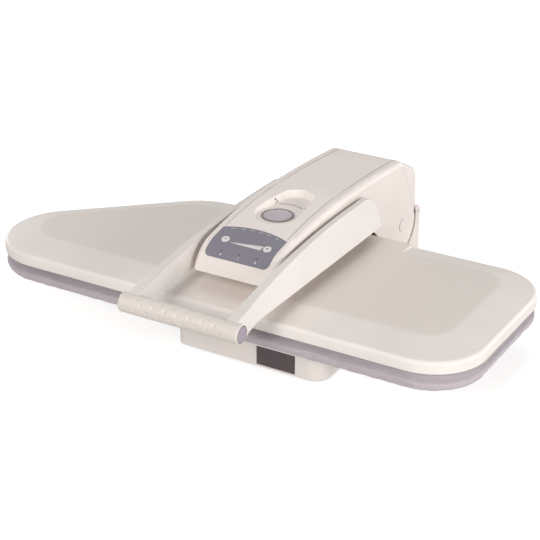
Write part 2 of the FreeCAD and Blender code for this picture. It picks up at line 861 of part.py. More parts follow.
def panel_prism(name, grow):
    """Upright prism of the panel's plan: bowed top edge, straight sides, round lower corners."""
    body = doc.addObject("PartDesign::Body", name)
    half, foot, bend = f"(panel_half + {grow})", f"({PANEL_FOOT} + {grow})", f"(panel_round + {grow})"
    top = panel_edge(half, grow)
    left, right = f"head_offset - {half}", f"head_offset + {half}"
    corners = [
        (f"{left} + {bend}", f"-{foot}"),
        (f"{right} - {bend}", f"-{foot}", bend, 1),
        (right, f"{bend} - {foot}"),
        (right, top, f"{PANEL_BOW} + {grow}", 1),
        (left, top),
        (left, f"{bend} - {foot}", bend, 1),
    ]
    pad(body, path(sketch(body, "XY_Plane", HEAD_LOW), corners), "2 * head_depth")
    return body


def lid_prism(name, front_grow, rear_grow, end_grow):
    """Upright prism of the lid's plan: its front edge follows the panel, its sides draw together."""
    body = doc.addObject("PartDesign::Body", name)
    wide, narrow = f"(lid_front_half + {front_grow})", f"(lid_rear_half + {rear_grow})"
    front = panel_edge(wide, f"lid_end_gap - {end_grow}")
    rear = f"{HEAD_REAR} - lid_end_gap + 2 * {end_grow}"
    corners = [
        (f"head_offset - {wide}", front, f"{PANEL_BOW} + lid_end_gap - {end_grow}", -1),
        (f"head_offset + {wide}", front),
        (f"head_offset + {narrow}", rear),
        (f"head_offset - {narrow}", rear),
    ]
    pad(body, path(sketch(body, "XY_Plane", HEAD_LOW), corners), "2 * head_depth")
    return body


def common(name, shapes):
    """What several shapes share."""
    made = doc.addObject("Part::MultiCommon", name)
    made.Shapes = shapes
    return made


def head_shell():
    """Moulded casing of the head: arched roof, round nose, flat floor, cheeks that end in the knuckle."""
    body = doc.addObject("PartDesign::Body", "head_casing")
    side = sketch(body, "YZ_Plane", "head_offset - head_half")
    away = "(hinge_reach - head_heel)"
    drop = f"({HEAD_LOW} - hinge_height)"
    span = f"sqrt({away}^2 + {drop}^2)"
    swing = f"(atan({drop} / {away}) + asin(knuckle_radius / {span}))"
    reach = f"sqrt({span}^2 - knuckle_radius^2)"
    nose_tip = f"(nose_reach + sqrt(nose_radius^2 - ({HEAD_LOW} - {NOSE_HEIGHT})^2))"
    corners = [
        (f"-{nose_tip}", HEAD_LOW),
        ("head_heel", HEAD_LOW),
        (f"head_heel + {reach} * cos({swing})", f"{HEAD_LOW} - {reach} * sin({swing})",
         "knuckle_radius", 1),
        ("hinge_reach", "hinge_height - knuckle_radius", "knuckle_radius", 1),
        ("hinge_reach + knuckle_radius", "hinge_height"),
        (HEAD_REAR, HEAD_REAR_TOP, REAR_BOW, 1),
        ("crown_reach", HEAD_TOP, NOSE_BOW, 1),
        brow("0") + ("nose_radius", 1),
    ]
    block = pad(body, path(side, corners), "2 * head_half")

    def rail_edge(edge):
        box = edge.BoundBox
        middle = edge.valueAt((edge.FirstParameter + edge.LastParameter) / 2)
        high = middle.z > number(NOSE_HEIGHT) + number("nose_radius") / 2
        return box.XLength < 0.01 and edge.Curve.TypeId == "Part::GeomCircle" and high
    fillet(body, block, "head_round", rail_edge)
    inner = sketch(body, "YZ_Plane", "head_offset + head_half - head_skin")
    inner_tip = (f"(nose_reach + sqrt((nose_radius - rail_depth)^2"
                 f" - ({FLOOR_TOP} - {NOSE_HEIGHT})^2))")
    outside = "(hinge_reach + 2 * knuckle_radius)"
    inside = [
        (f"-{inner_tip}", FLOOR_TOP),
        ("head_heel + 2 * frame_wall", FLOOR_TOP),
        ("head_heel + 2 * frame_wall", "hinge_height - 2 * knuckle_radius"),
        (outside, "hinge_height - 2 * knuckle_radius"),
        (outside, f"{HEAD_REAR_TOP} - 2 * rail_depth"),
        (HEAD_REAR, rear_roof(HEAD_REAR, "-rail_depth"), f"{REAR_BOW} - rail_depth", 1),
        ("crown_reach", f"{HEAD_TOP} - rail_depth", f"{NOSE_BOW} - rail_depth", 1),
        brow("-rail_depth") + ("nose_radius - rail_depth", 1),
    ]
    pocket(body, path(inner, inside), "2 * (head_half - head_skin)")
    hatch = sketch(body, "XY_Plane", f"{HEAD_TOP} + lid_above")
    rectangle(hatch, "head_offset - ledge_half", "head_offset + ledge_half",
              "ledge_lead - nose_reach", f"{HEAD_REAR} - ledge_rear")
    pocket(body, hatch, "head_depth / 2")
    window = sketch(body, "XY_Plane", HEAD_TOP)
    wide = "(panel_half - panel_ledge)"
    rectangle(window, f"head_offset - {wide}", f"head_offset + {wide}", f"-{WINDOW_FRONT}", f"-{WINDOW_REAR}")
    pocket(body, window, "head_depth - 2 * head_skin")
    pocket(body, hanger_plan(body, FLOOR_TOP, "hanger_clear"), "2 * head_skin")
    stems = sketch(body, "YZ_Plane", "head_offset + head_half")
    discs(stems, [("hinge_reach", "hinge_height")], "cap_stem + cap_gap")
    pocket(body, stems, "2 * head_half")
    pulls = sketch(body, "YZ_Plane", "head_offset + head_half")
    discs(pulls, [("pull_reach", PULL_HEIGHT)], "pull_radius + pull_clear")
    pocket(body, pulls, "2 * head_half")
    panel_seat = common("panel_seat", [
        nose_band("panel_seat_band", "panel_half + 2 * panel_gap", "panel_proud - panel_thick",
                  "lid_above"),
        panel_prism("panel_seat_prism", "panel_gap"),
    ])
    lid_seat = common("lid_seat", [
        roof_strip("lid_seat_strip", "lid_front_half + lid_rear_gap", "-lid_thick", "lid_above"),
        lid_prism("lid_seat_prism", "lid_front_gap", "lid_rear_gap", "lid_end_gap"),
    ])
    keep(less("head_shell", less("head_with_panel_seat", body, panel_seat), lid_seat), "head_shell")


def oval(body, height, grow):
    """Egg-shaped outline of the scoop: a wide front round and a small rear round, joined straight."""
    wide, small = f"(scoop_front_half + {grow})", f"(scoop_rear_half + {grow})"
    lean = "((scoop_front_half - scoop_rear_half) / scoop_length)"
    side = f"sqrt(1 - {lean}^2)"
    rear = f"({BUTTON_AWAY} + scoop_length)"
    front_up, rear_up = f"{BUTTON_AWAY} + {wide} * {lean}", f"{rear} + {small} * {lean}"
    corners = [
        (f"head_offset - {wide} * {side}", front_up, wide, 1),
        ("head_offset", f"{BUTTON_AWAY} - {wide}", wide, 1),
        (f"head_offset + {wide} * {side}", front_up),
        (f"head_offset + {small} * {side}", rear_up, small, 1),
        ("head_offset", f"{rear} + {small}", small, 1),
        (f"head_offset - {small} * {side}", rear_up),
    ]
    return path(sketch(body, "XY_Plane", height), corners)


def head_top_panel():
    """Arched lid of the head, dished round the steam button."""
    sheet = common("lid_sheet", [
        roof_strip("lid_strip", "lid_front_half + lid_rear_gap", "-lid_thick", "0"),
        lid_prism("lid_outline", "0", "0", "0"),
    ])
    well = doc.addObject("PartDesign::Body", "lid_well")
    pad(well, oval(well, f"{SCOOP_FLOOR} - scoop_skin", "scoop_skin"), "2 * scoop_depth")
    under = roof_strip("lid_under", "2 * scoop_front_half", "-3 * scoop_depth", "-lid_thick / 2")
    dish = common("lid_dish", [well, under])
    bowl = doc.addObject("PartDesign::Body", "lid_bowl")
    loft = bowl.newObject("PartDesign::AdditiveLoft", "lid_bowl_loft")
    loft.Profile = oval(bowl, SCOOP_FLOOR, "(0 - scoop_slope)")
    loft.Sections = [oval(bowl, f"{HEAD_TOP} + lid_above", "(lid_above / 2)")]
    loft.Ruled = True
    doc.recompute()
    hole = post("lid_button_hole", "head_offset", BUTTON_AWAY, f"{SCOOP_FLOOR} - 2 * scoop_skin",
                "4 * scoop_skin", "button_radius + button_gap + bezel_width + fit_gap")
    dished = less("lid_dished", joined("lid_whole", [sheet, dish]), bowl)
    keep(less("head_top_panel", dished, hole), "head_top_panel")


def lathe(label, across, away, low, outline):
    """Turned piece about an upright axis; the outline is in radius and height above low."""
    body = new_body(label)
    drawing = sketch(body, "XZ_Plane", f"-({away})")
    drawing.setExpression("AttachmentOffset.Base.x", cell(across))
    drawing.setExpression("AttachmentOffset.Base.y", cell(low))
    path(drawing, outline)
    turned = body.newObject("PartDesign::Revolution", f"{label}_turn")
    turned.Profile = drawing
    turned.ReferenceAxis = (drawing, ["V_Axis"])
    turned.Angle = 360
    doc.recompute()
    return body


def steam_button_bezel():
    """Dark ring that the steam button slides in."""
    inner = "button_radius + button_gap"
    outer = f"{inner} + bezel_width"
    lathe("steam_button_bezel", "head_offset", BUTTON_AWAY, SCOOP_FLOOR, [
        (inner, "-bezel_grip"),
        (outer, "-bezel_grip"),
        (outer, "bezel_rise"),
        (inner, "bezel_rise + button_gap"),
    ])


def steam_button():
    """Domed push button with a stem that works the steam switch."""
    crown = "(button_radius^2 + button_dome^2) / (2 * button_dome)"
    stem_low = f"{FRAME_TOP} + switch_height + button_travel + button_gap - {SCOOP_FLOOR}"
    lathe("steam_button", "head_offset", BUTTON_AWAY, SCOOP_FLOOR, [
        ("0", stem_low),
        ("stem_radius", stem_low),
        ("stem_radius", "bezel_rise - button_body"),
        ("button_radius", "bezel_rise - button_body"),
        ("button_radius", "bezel_rise", crown, 1),
        ("0", "bezel_rise + button_dome"),
    ])


def steam_switch():
    """Switch under the steam button."""
    made = doc.addObject("Part::Box", "steam_switch")
    bind(made, Length="2 * switch_half", Width="2 * switch_half", Height="switch_height")
    for axis, text in zip("xyz", ("head_offset - switch_half", f"{BUTTON_AWAY} - switch_half", FRAME_TOP)):
        made.setExpression(f"Placement.Base.{axis}", cell(text))
    keep(made, "steam_switch")


def head_rear_cover():
    """Slanted back of the head, a shell that turns down inside the tower."""
    body = new_body("head_rear_cover")
    side = sketch(body, "YZ_Plane", "head_offset - head_half")
    run = f"(hinge_reach + knuckle_radius - {HEAD_REAR})"
    fall = f"({HEAD_REAR_TOP} - hinge_height)"
    low = "(hinge_height + back_rise)"
    seam_low = f"({HEAD_REAR} + {run} * ({HEAD_REAR_TOP} - {low}) / {fall} + back_gap)"
    back = "(hinge_reach + back_reach)"
    knee = f"({HEAD_REAR_TOP} - back_knee)"
    slope = (f"({HEAD_REAR} + back_slope_run)", f"({HEAD_REAR_TOP} - back_slope_fall)")
    corners = [
        (seam_low, low),
        (back, low),
        (f"{back} - back_lean", knee, "back_round", 1),
        slope,
        (f"{HEAD_REAR} + back_gap", HEAD_REAR_TOP),
    ]
    block = pad(body, path(side, corners), "2 * head_half")

    def back_edge(edge):
        middle = edge.valueAt((edge.FirstParameter + edge.LastParameter) / 2)
        seam = number(HEAD_REAR) + number(run) * (number(HEAD_REAR_TOP) - middle.z) / number(fall)
        tall = edge.BoundBox.ZLength > number("head_skin")
        return edge.BoundBox.XLength < 0.01 and tall and middle.y - seam > number("head_skin")
    fillet(body, block, "head_round", back_edge)
    cheek = "(head_half - 2 * head_skin)"
    inner = sketch(body, "YZ_Plane", f"head_offset + {cheek}")
    ahead = f"{HEAD_REAR} - 2 * back_round"
    inside = [
        (ahead, f"{low} - head_skin"),
        (f"{back} - head_skin", f"{low} - head_skin"),
        (f"{back} - back_lean - head_skin", knee, "back_round - head_skin", 1),
        (f"{slope[0]} - head_skin * 0.56", f"{slope[1]} - head_skin * 0.83"),
        (f"{HEAD_REAR} + back_gap", f"{HEAD_REAR_TOP} - head_skin * 1.2"),
        (ahead, f"{HEAD_REAR_TOP} - head_skin * 1.2"),
    ]
    pocket(body, path(inner, inside), f"2 * {cheek}")


def control_panel():
    """Curved panel on the nose, bored for the two keys and the three lamps."""
    inner, outer = "panel_proud - panel_thick", "panel_proud"
    band = nose_band("panel_band", "panel_half + 2 * panel_gap", inner, outer)
    panel = common("panel_blank", [band, panel_prism("panel_outline", "0")])
    holes = [nose_post(f"key_hole_{place}", side, "key_angle", "key_length", "3 * key_length",
                       "key_radius + key_gap")
             for place, side in enumerate(("-key_side", "key_side"), start=1)]
    holes += [nose_post(f"lens_hole_{place}", side, "lens_angle", "lens_length", "3 * lens_length",
                        "lens_radius + fit_gap")
              for place, side in enumerate(("-lens_side", "0", "lens_side"), start=1)]
    keep(less("control_panel", panel, group_of_tools("panel_holes", holes)), "control_panel")


def group_of_tools(name, shapes):
    """Cutting tools taken together."""
    made = doc.addObject("Part::Compound", name)
    made.Links = shapes
    return made


def nose_post(name, side, angle, proud, length, radius):
    """Cylinder that stands square to the nose at one angle, proud of the panel."""
    made = doc.addObject("Part::Cylinder", name)
    made.Placement = Placement(Vector(), Rotation(Vector(1, 0, 0), 1))
    bind(made, Radius=radius, Height=length)
    foot = f"(nose_radius + panel_proud + {proud} - {length})"
    made.setExpression("Placement.Base.x", cell(f"head_offset + print_shift + {side}"))
    made.setExpression("Placement.Base.y", cell(f"-nose_reach - {foot} * sin({angle} * 1 deg)"))
    made.setExpression("Placement.Base.z", cell(f"{NOSE_HEIGHT} + {foot} * cos({angle} * 1 deg)"))
    made.setExpression("Placement.Rotation.Angle", cell(angle))
    return made


def keys_and_lamps():
    """Two temperature keys and the three lamp lenses of the panel."""
    for label, side in (("cooler_button", "-key_side"), ("hotter_button", "key_side")):
        keep(nose_post(label, side, "key_angle", "key_proud", "key_length", "key_radius"), label)
    group("indicator_lenses", [
        nose_post(f"lens_{place}", side, "lens_angle", "lens_proud", "lens_length", "lens_radius")
        for place, side in enumerate(("-lens_side", "0", "lens_side"), start=1)
    ])


def control_board():
    """Circuit board across the back of the panel, inside the window."""
    made = doc.addObject("Part::Box", "control_board")
    below = "(panel_proud - panel_thick - circuit_gap)"
    rear_away = f"(circuit_margin + {WINDOW_REAR})"
    rear_up = roof(f"-{rear_away}", below)
    front_away = f"({WINDOW_FRONT} - circuit_margin - circuit_thick)"
    front_up = f"({NOSE_HEIGHT} + sqrt((nose_radius + {below})^2 - ({front_away} - nose_reach)^2))"
    run, rise = f"({front_away} - {rear_away})", f"({rear_up} - {front_up})"
    length = f"sqrt({run}^2 + {rise}^2)"
    bind(made, Length="2 * circuit_half", Width=length, Height="circuit_thick")
    made.Placement = Placement(Vector(), Rotation(Vector(1, 0, 0), 1))
    made.setExpression("Placement.Rotation.Angle", cell(f"atan({rise} / {run})"))
    made.setExpression("Placement.Base.x", cell("head_offset - circuit_half"))
    made.setExpression("Placement.Base.y", cell(f"circuit_thick * {rise} / {length} - {front_away}"))
    made.setExpression("Placement.Base.z", cell(f"{front_up} - circuit_thick * {run} / {length}"))
    keep(made, "control_board")


def water_tank():
    """Flat tank on the frame, under the lid."""
    body = new_body("water_tank")
    base = sketch(body, "XY_Plane", f"{FRAME_TOP} + tank_gap")
    rectangle(base, "head_offset - tank_half", "head_offset + tank_half",
              "tank_front", f"{HEAD_REAR} - tank_setback")
    block = pad(body, base, "tank_height")
    fillet(body, block, "tank_round", upright)


def pump_and_pipe():
    """Pump beside the tank and the pipe that feeds the chest through the pillar."""
    axis = f"{FRAME_TOP} + pump_gap + pump_radius"
    made = doc.addObject("Part::Cylinder", "pump")
    made.Placement = Placement(Vector(), Rotation(Vector(1, 0, 0), -90))
    bind(made, Radius="pump_radius", Height="pump_length")
    front = "(pipe_reach + 2 * pipe_bend)"
    for axis_name, text in zip("xyz", ("head_offset", front, axis)):
        made.setExpression(f"Placement.Base.{axis_name}", cell(text))
    keep(made, "pump")
    body = new_body("steam_pipe")
    line = sketch(body, "YZ_Plane", "head_offset")
    low, top = number(CHAMBER_TOP), number(axis)
    away, bend, end = number("pipe_reach"), number("pipe_bend"), number(front)
    circle = Part.Circle(Vector(away + bend, top - bend, 0), Vector(0, 0, 1), bend)
    line.addGeometry([
        Part.LineSegment(Vector(away, low, 0), Vector(away, top - bend, 0)),
        Part.ArcOfCircle(circle, math.pi / 2, math.pi),
        Part.LineSegment(Vector(away + bend, top, 0), Vector(end, top, 0)),
    ])
    line.addConstraint(Sketcher.Constraint("Tangent", 0, 2, 1, 2))
    line.addConstraint(Sketcher.Constraint("Tangent", 1, 1, 2, 1))
    line.addConstraint(Sketcher.Constraint("Vertical", 0))
    line.addConstraint(Sketcher.Constraint("Horizontal", 2))
    locate(line, 0, 1, "pipe_reach", CHAMBER_TOP)
    locate(line, 2, 2, front, axis)
    measure(line, Sketcher.Constraint("Radius", 1, bend), "pipe_bend")
    section = sketch(body, "XY_Plane", CHAMBER_TOP)
    discs(section, [("head_offset", "pipe_reach")], "pipe_radius")
    tube = body.newObject("PartDesign::AdditivePipe", "steam_pipe_tube")
    tube.Profile = section
    tube.Spine = (line, ["Edge1", "Edge2", "Edge3"])
    doc.recompute()


def mirrored_rods(label, inner, outer, away, up, radius):
    """Equal rods on both sides of the head's middle."""
    length = f"({outer}) - ({inner})"
    starts = (("left", f"head_offset - ({outer})"), ("right", f"head_offset + ({inner})"))
    return [rod(f"{label}_{side}", start, length, away, up, radius) for side, start in starts]


def mirrored_bores(label, solids, inner, outer, away, up, radius):
    """Solids of both sides, each bored along X."""
    bores = mirrored_rods(f"{label}_bore", inner, outer, away, up, radius)
    return [less(f"{label}_{place}", solid, bore)
            for place, (solid, bore) in enumerate(zip(solids, bores), start=1)]


def pivot_parts():
    """Shaft, bushes, clips, springs and plugs on the two pivots of the head."""
    hinge = ("hinge_reach", "hinge_height")
    pull = ("pull_reach", PULL_HEIGHT)
    keep(rod("hinge_shaft", "head_offset - shaft_half", "2 * shaft_half", *hinge, "shaft_radius"),
         "hinge_shaft")
    cheek = "(frame_half - frame_wall)"
    flange = "(bracket_half - bracket_thick - frame_gap)"
    barrels = mirrored_rods("hinge_barrel", cheek, "frame_half", *hinge, "bush_radius")
    collars = mirrored_rods("hinge_collar", "frame_half", flange, *hinge, "bush_flange")
    bushes = [joined(f"hinge_bush_blank_{place}", list(pair))
              for place, pair in enumerate(zip(barrels, collars), start=1)]
    group("hinge_bushes", mirrored_bores("hinge_bush", bushes, cheek, flange, *hinge,
                                         "shaft_radius + fit_gap"))
    clips = mirrored_rods("clip_disc", "bracket_half", "bracket_half + clip_thick", *hinge, "clip_radius")
    group("shaft_clips", mirrored_bores("shaft_clip", clips, "bracket_half",
                                        "bracket_half + clip_thick", *hinge, "shaft_radius + fit_gap"))
    coil_end = "spring_start + spring_length"
    coils = mirrored_rods("coil", "spring_start", coil_end, *hinge, "shaft_radius + spring_gap + spring_wall")
    group("lift_springs", mirrored_bores("lift_spring", coils, "spring_start", coil_end, *hinge,
                                         "shaft_radius + spring_gap"))
    sleeves = mirrored_rods("pull_sleeve", cheek, "frame_half", *pull, "pull_bush")
    group("handle_bushes", mirrored_bores("handle_bush", sleeves, cheek, "frame_half", *pull,
                                          "pull_radius + fit_gap"))
    heads = mirrored_rods("cap_head", "head_half", "head_half + cap_proud", *hinge, "cap_radius")
    stems = mirrored_rods("cap_stub", "head_half - cap_depth", "head_half", *hinge, "cap_stem")
    group("pivot_caps", [joined(f"pivot_cap_{place}", list(pair))
                         for place, pair in enumerate(zip(heads, stems), start=1)])


def handle_arm(label, side):
    """Lever arm: bowed top edge, outer face that leans out towards the bottom, seat for the bar."""
    body = new_body(label)
    inner, outer = ("arm_inner", "arm_low_half") if side > 0 else ("-arm_low_half", "-arm_inner")
    profile = sketch(body, "YZ_Plane", f"head_offset + {inner}")
    bar_top = f"{BAR_HEIGHT} + bar_radius"
    bar_low = f"{BAR_HEIGHT} - bar_radius"
    fall = f"({ARM_TOP} - ({bar_top}))"
    run = "(bar_reach + arm_straight)"
    bow = f"(({run}^2 + {fall}^2) / (2 * {fall}))"
    dip = f"({ARM_LOW} - ({bar_low}))"
    throat = "(bar_reach - arm_throat)"
    scoop = f"(({throat}^2 + {dip}^2) / (2 * {dip}))"
    corners = [
        ("-bar_reach", bar_low, scoop, -1),
        ("-arm_throat", ARM_LOW),
        ("arm_rear - arm_heel", ARM_LOW),
        ("arm_rear", f"{ARM_LOW} + arm_heel"),
        ("arm_rear", ARM_TOP),
        ("arm_straight", ARM_TOP, bow, 1),
        ("arm_lip - bar_reach", f"{ARM_TOP} - {bow} + sqrt({bow}^2 - ({run} - arm_lip)^2)"),
    ]
    block = pad(body, path(profile, corners), "arm_low_half - arm_inner")

    def shoulder(edge):
        box = edge.BoundBox
        across = box.YLength < 0.01 and box.ZLength < 0.01
        return across and box.Center.y > number("arm_rear") - 1 and box.Center.z > number(ARM_TOP) - 1
    fillet(body, block, "arm_round", shoulder)
    lean = sketch(body, "XZ_Plane", "bar_reach + bar_radius")
    top_out = f"head_offset + {side} * arm_top_half"
    low_out = f"head_offset + {side} * arm_low_half"
    past = f"head_offset + {side} * (arm_low_half + arm_bow)"
    path(lean, [(low_out, bar_low), (past, bar_low), (past, ARM_TOP), (top_out, ARM_TOP)])
    leaning = pocket(body, lean, "bar_reach + bar_radius + arm_rear + arm_round")

    def outer_top(edge):
        box = edge.BoundBox
        middle = edge.valueAt((edge.FirstParameter + edge.LastParameter) / 2)
        spread = side * (middle.x - number("head_offset"))
        along = box.YLength > number("bar_radius")
        high = middle.z > number(bar_top) - 1
        return along and high and spread > number("arm_inner + arm_edge / 2")
    fillet(body, leaning, "arm_edge", outer_top)
    seat = sketch(body, "YZ_Plane", f"head_offset + {outer}")
    discs(seat, [("-bar_reach", BAR_HEIGHT)], "bar_radius + fit_gap")
    pocket(body, seat, "arm_low_half - arm_inner")
    bore_end = "arm_inner + pull_depth" if side > 0 else "-arm_inner"
    bore = sketch(body, "YZ_Plane", f"head_offset + {bore_end}")
    discs(bore, [("pull_reach", PULL_HEIGHT)], "pull_radius + fit_gap")
    pocket(body, bore, "pull_depth")


def handle_bar():
    """Round grip with a sunk end at both sides, its end discs and the cross shaft."""
    axis = ("-bar_reach", BAR_HEIGHT)
    bar = rod("grip_blank", "head_offset - bar_half", "2 * bar_half", *axis, "bar_radius")
    sinks = mirrored_rods("grip_sink", "bar_half - end_depth", "bar_half", *axis, "end_radius")
    keep(less("handle_grip", less("grip_half_sunk", bar, sinks[0]), sinks[1]), "handle_grip")
    group("grip_end_caps", mirrored_rods("end_cap", "bar_half - end_depth", "bar_half - end_gap",
                                         *axis, "end_radius - end_gap"))
    reach = "(arm_inner + pull_depth - end_gap)"
    keep(rod("handle_shaft", f"head_offset - {reach}", f"2 * {reach}", "pull_reach", PULL_HEIGHT,
             "pull_radius"), "handle_shaft")


def base_outline(drawing, inset):
    """Plan of the base drawn in by one distance: tight left corners, wide right corners."""
    left, right = f"head_offset - base_left + {inset}", f"head_offset + base_right - {inset}"
    front, rear = f"{inset} - base_front", f"{BASE_REAR} - {inset}"
    tight, wide = f"(base_left_corner - {inset})", f"(base_corner - {inset})"
    return path(drawing, [
        (f"{left} + {tight}", front),
        (f"{right} - {wide}", front, wide, 1),
        (right, f"{front} + {wide}"),
        (right, f"{rear} - {wide}", wide, 1),
        (f"{right} - {wide}", rear),
        (f"{left} + {tight}", rear, tight, 1),
        (left, f"{rear} - {tight}"),
        (left, f"{front} + {tight}", tight, 1),
    ])


def base_housing():
    """Moulded base box, open below, with a window recess in front and a notch for the head."""
    body = new_body("base_housing")
    block = pad(body, base_outline(sketch(body, "XY_Plane", "base_low"), "0"), "board_low - base_low")
    fillet(body, block, "base_round", level("base_low"))
    pocket(body, base_outline(sketch(body, "XY_Plane", "board_low - base_skin"), "base_skin"),
           "board_low - base_skin - base_low")
    posts = sketch(body, "XY_Plane", SHEET_TOP)
    discs(posts, screw_places(), "post_radius")
    pad(body, posts, f"board_low - base_skin / 2 - {SHEET_TOP}")
    threads = sketch(body, "XY_Plane", f"{SHEET_TOP} + screw_grip")
    discs(threads, screw_places(), "screw_shank + thread_gap")
    pocket(body, threads, "screw_grip")
    notch = sketch(body, "XY_Plane", "board_low + base_skin")
    gap_half = "(head_half + tower_gap)"
    rectangle(notch, f"head_offset - {gap_half}", f"head_offset + {gap_half}",
              f"{BASE_REAR} - 3 * frame_eye / 2 - base_skin", f"{BASE_REAR} + base_skin")
    pocket(body, notch, "board_low + base_skin")
    window = sketch(body, "XZ_Plane", "base_front")
    rectangle(window, "head_offset + window_left", "head_offset + window_left + window_width",
              "window_low", "window_low + window_height")
    pocket(body, window, "window_depth")


def screw_places():
    """Corners of the base where screws enter the posts."""
    inset = "(base_skin + screw_inset)"
    sides = (f"head_offset - base_left + {inset}", f"head_offset + base_right - {inset}")
    rows = ("base_skin + screw_inset - base_front", f"{BASE_REAR} - base_skin - screw_inset")
    return [(side, row) for row in rows for side in sides]


def base_plate():
    """Steel sheet that closes the base and runs back under the tower."""
    body = new_body("base_plate")
    sheet = sketch(body, "XY_Plane", "sheet_low")
    edge = "(base_skin + sheet_gap)"
    left, right = f"head_offset - base_left + {edge}", f"head_offset + base_right - {edge}"
    narrow = "(head_half + tower_gap - sheet_gap)"
    tight, wide = "(base_left_corner - base_skin)", "(base_corner - base_skin)"
    front, rear = f"{edge} - base_front", f"{BASE_REAR} - {edge}"
    tail = f"{TOWER_REAR} - tower_skin - sheet_gap"
    tail_round = "(tower_round - tower_skin)"
    path(sheet, [
        (f"{left} + {tight}", front),
        (f"{right} - {wide}", front, wide, 1),
        (right, f"{front} + {wide}"),
        (right, f"{rear} - {wide}", wide, 1),
        (f"{right} - {wide}", rear),
        (f"head_offset + {narrow}", rear),
        (f"head_offset + {narrow}", f"{tail} - {tail_round}", tail_round, 1),
        (f"head_offset + {narrow} - {tail_round}", tail),
        (f"head_offset - {narrow} + {tail_round}", tail, tail_round, 1),
        (f"head_offset - {narrow}", f"{tail} - {tail_round}"),
        (f"head_offset - {narrow}", rear),
        (f"{left} + {tight}", rear, tight, 1),
        (left, f"{rear} - {tight}"),
        (left, f"{front} + {tight}", tight, 1),
    ])
    pad(body, sheet, "sheet_thick")
    holes = sketch(body, "XY_Plane", SHEET_TOP)
    discs(holes, screw_places(), "screw_shank + thread_gap")
    pocket(body, holes, "2 * sheet_thick")


def feet_and_screws():
    """Four tapered rubber feet under the sheet, and the screws that hold the sheet."""
    inset = "(base_skin + foot_inset + screw_inset)"
    narrow = "(head_half - foot_inset)"
    front, rear = f"{inset} - base_front", f"{TOWER_REAR} - tower_skin - foot_inset"
    places = [
        (f"head_offset - base_left + {inset}", front),
        (f"head_offset + base_right - {inset}", front),
        (f"head_offset - {narrow}", rear),
        (f"head_offset + {narrow}", rear),
    ]
    feet = []
    for across, away in places:
        foot = doc.addObject("Part::Cone", f"foot_{len(feet) + 1}")
        bind(foot, Radius1="foot_tip", Radius2="foot_radius", Height="sheet_low")
        foot.setExpression("Placement.Base.x", cell(across))
        foot.setExpression("Placement.Base.y", cell(away))
        feet.append(foot)
    group("feet", feet)
    screws = []
    for place, (across, away) in enumerate(screw_places(), start=1):
        shank = post(f"screw_shank_{place}", across, away, "sheet_low",
                     "sheet_thick + screw_grip - thread_gap", "screw_shank")
        head = post(f"screw_head_{place}", across, away, "sheet_low - screw_shank", "screw_shank",
                    "screw_head")
        screws.append(joined(f"screw_{place}", [shank, head]))
    group("base_screws", screws)


def board():
    """Padded board: pressed pan, foam and the cloth cover with its round shoulder."""
    pan = new_body("board_pan")
    pad(pan, inset_plan(pan, "board_low", "pan_inset"), "pan_rim")
    pocket(pan, inset_plan(pan, "board_low + pan_rim", "(pan_inset + pan_wall)"), "pan_rim - pan_wall")
    foam = new_body("board_foam")
    low = "(board_low + pan_wall + foam_gap)"
    top = "(press_plane - cloth_thick - foam_gap)"
    slab = pad(foam, inset_plan(foam, low, "(pan_inset + pan_wall + foam_gap)"), f"{top} - {low}")
    fillet(foam, slab, "foam_round", level(top))
    cloth = new_body("board_cover")
    hem = "(board_low + cloth_rise)"
    waist = f"({hem} + cloth_waist)"
    drawn = cloth.newObject("PartDesign::AdditiveLoft", "board_cover_side")
    drawn.Profile = inset_plan(cloth, hem, "(cloth_inset + cloth_draw)")
    drawn.Sections = [inset_plan(cloth, waist, "cloth_inset")]
    drawn.Ruled = True
    doc.recompute()
    crown = pad(cloth, inset_plan(cloth, waist, "cloth_inset"), f"press_plane - {waist}")
    fillet(cloth, crown, "cloth_round", level("press_plane"))
    pocket(cloth, inset_plan(cloth, "press_plane - cloth_thick", "(pan_inset - foam_gap - foam_gap)"),
           f"press_plane - cloth_thick - {hem}")


def hinge_tower():
    """U-shaped casing behind the board, cut round so that the knuckle turns in it."""
    body = new_body("hinge_tower")
    box = sketch(body, "XY_Plane", "base_low")
    rectangle(box, f"head_offset - {TOWER_HALF}", f"head_offset + {TOWER_HALF}", TOWER_FRONT, TOWER_REAR)
    top = "hinge_height + tower_rise"
    block = pad(body, box, f"{top} - base_low")

    def back_corner(edge):
        return upright(edge) and edge.BoundBox.Center.y > number(TOWER_REAR) - 1
    fillet(body, block, "tower_round", back_corner)
    inner = sketch(body, "XY_Plane", top)
    half = "(head_half + tower_gap)"
    round_in = "(tower_round - tower_skin)"
    back = f"{TOWER_REAR} - tower_skin"
    path(inner, [
        (f"head_offset - {half}", f"{TOWER_FRONT} - tower_skin"),
        (f"head_offset + {half}", f"{TOWER_FRONT} - tower_skin"),
        (f"head_offset + {half}", f"{back} - {round_in}", round_in, 1),
        (f"head_offset + {half} - {round_in}", back),
        (f"head_offset - {half} + {round_in}", back, round_in, 1),
        (f"head_offset - {half}", f"{back} - {round_in}"),
    ])
    pocket(body, inner, f"{top} - base_low")
    ring = sketch(body, "YZ_Plane", f"head_offset + {TOWER_HALF}")
    discs(ring, [("hinge_reach", "hinge_height")], "knuckle_radius + knuckle_gap")
    pocket(body, ring, f"2 * {TOWER_HALF}")
    socket = sketch(body, "XZ_Plane", f"2 * tower_skin - {TOWER_REAR}")
    clear = "(inlet_half + sheet_gap)"
    rectangle(socket, f"head_offset - {clear}", f"head_offset + {clear}",
              "inlet_low - sheet_gap", "inlet_low + inlet_height + sheet_gap")
    pocket(body, socket, "3 * tower_skin")


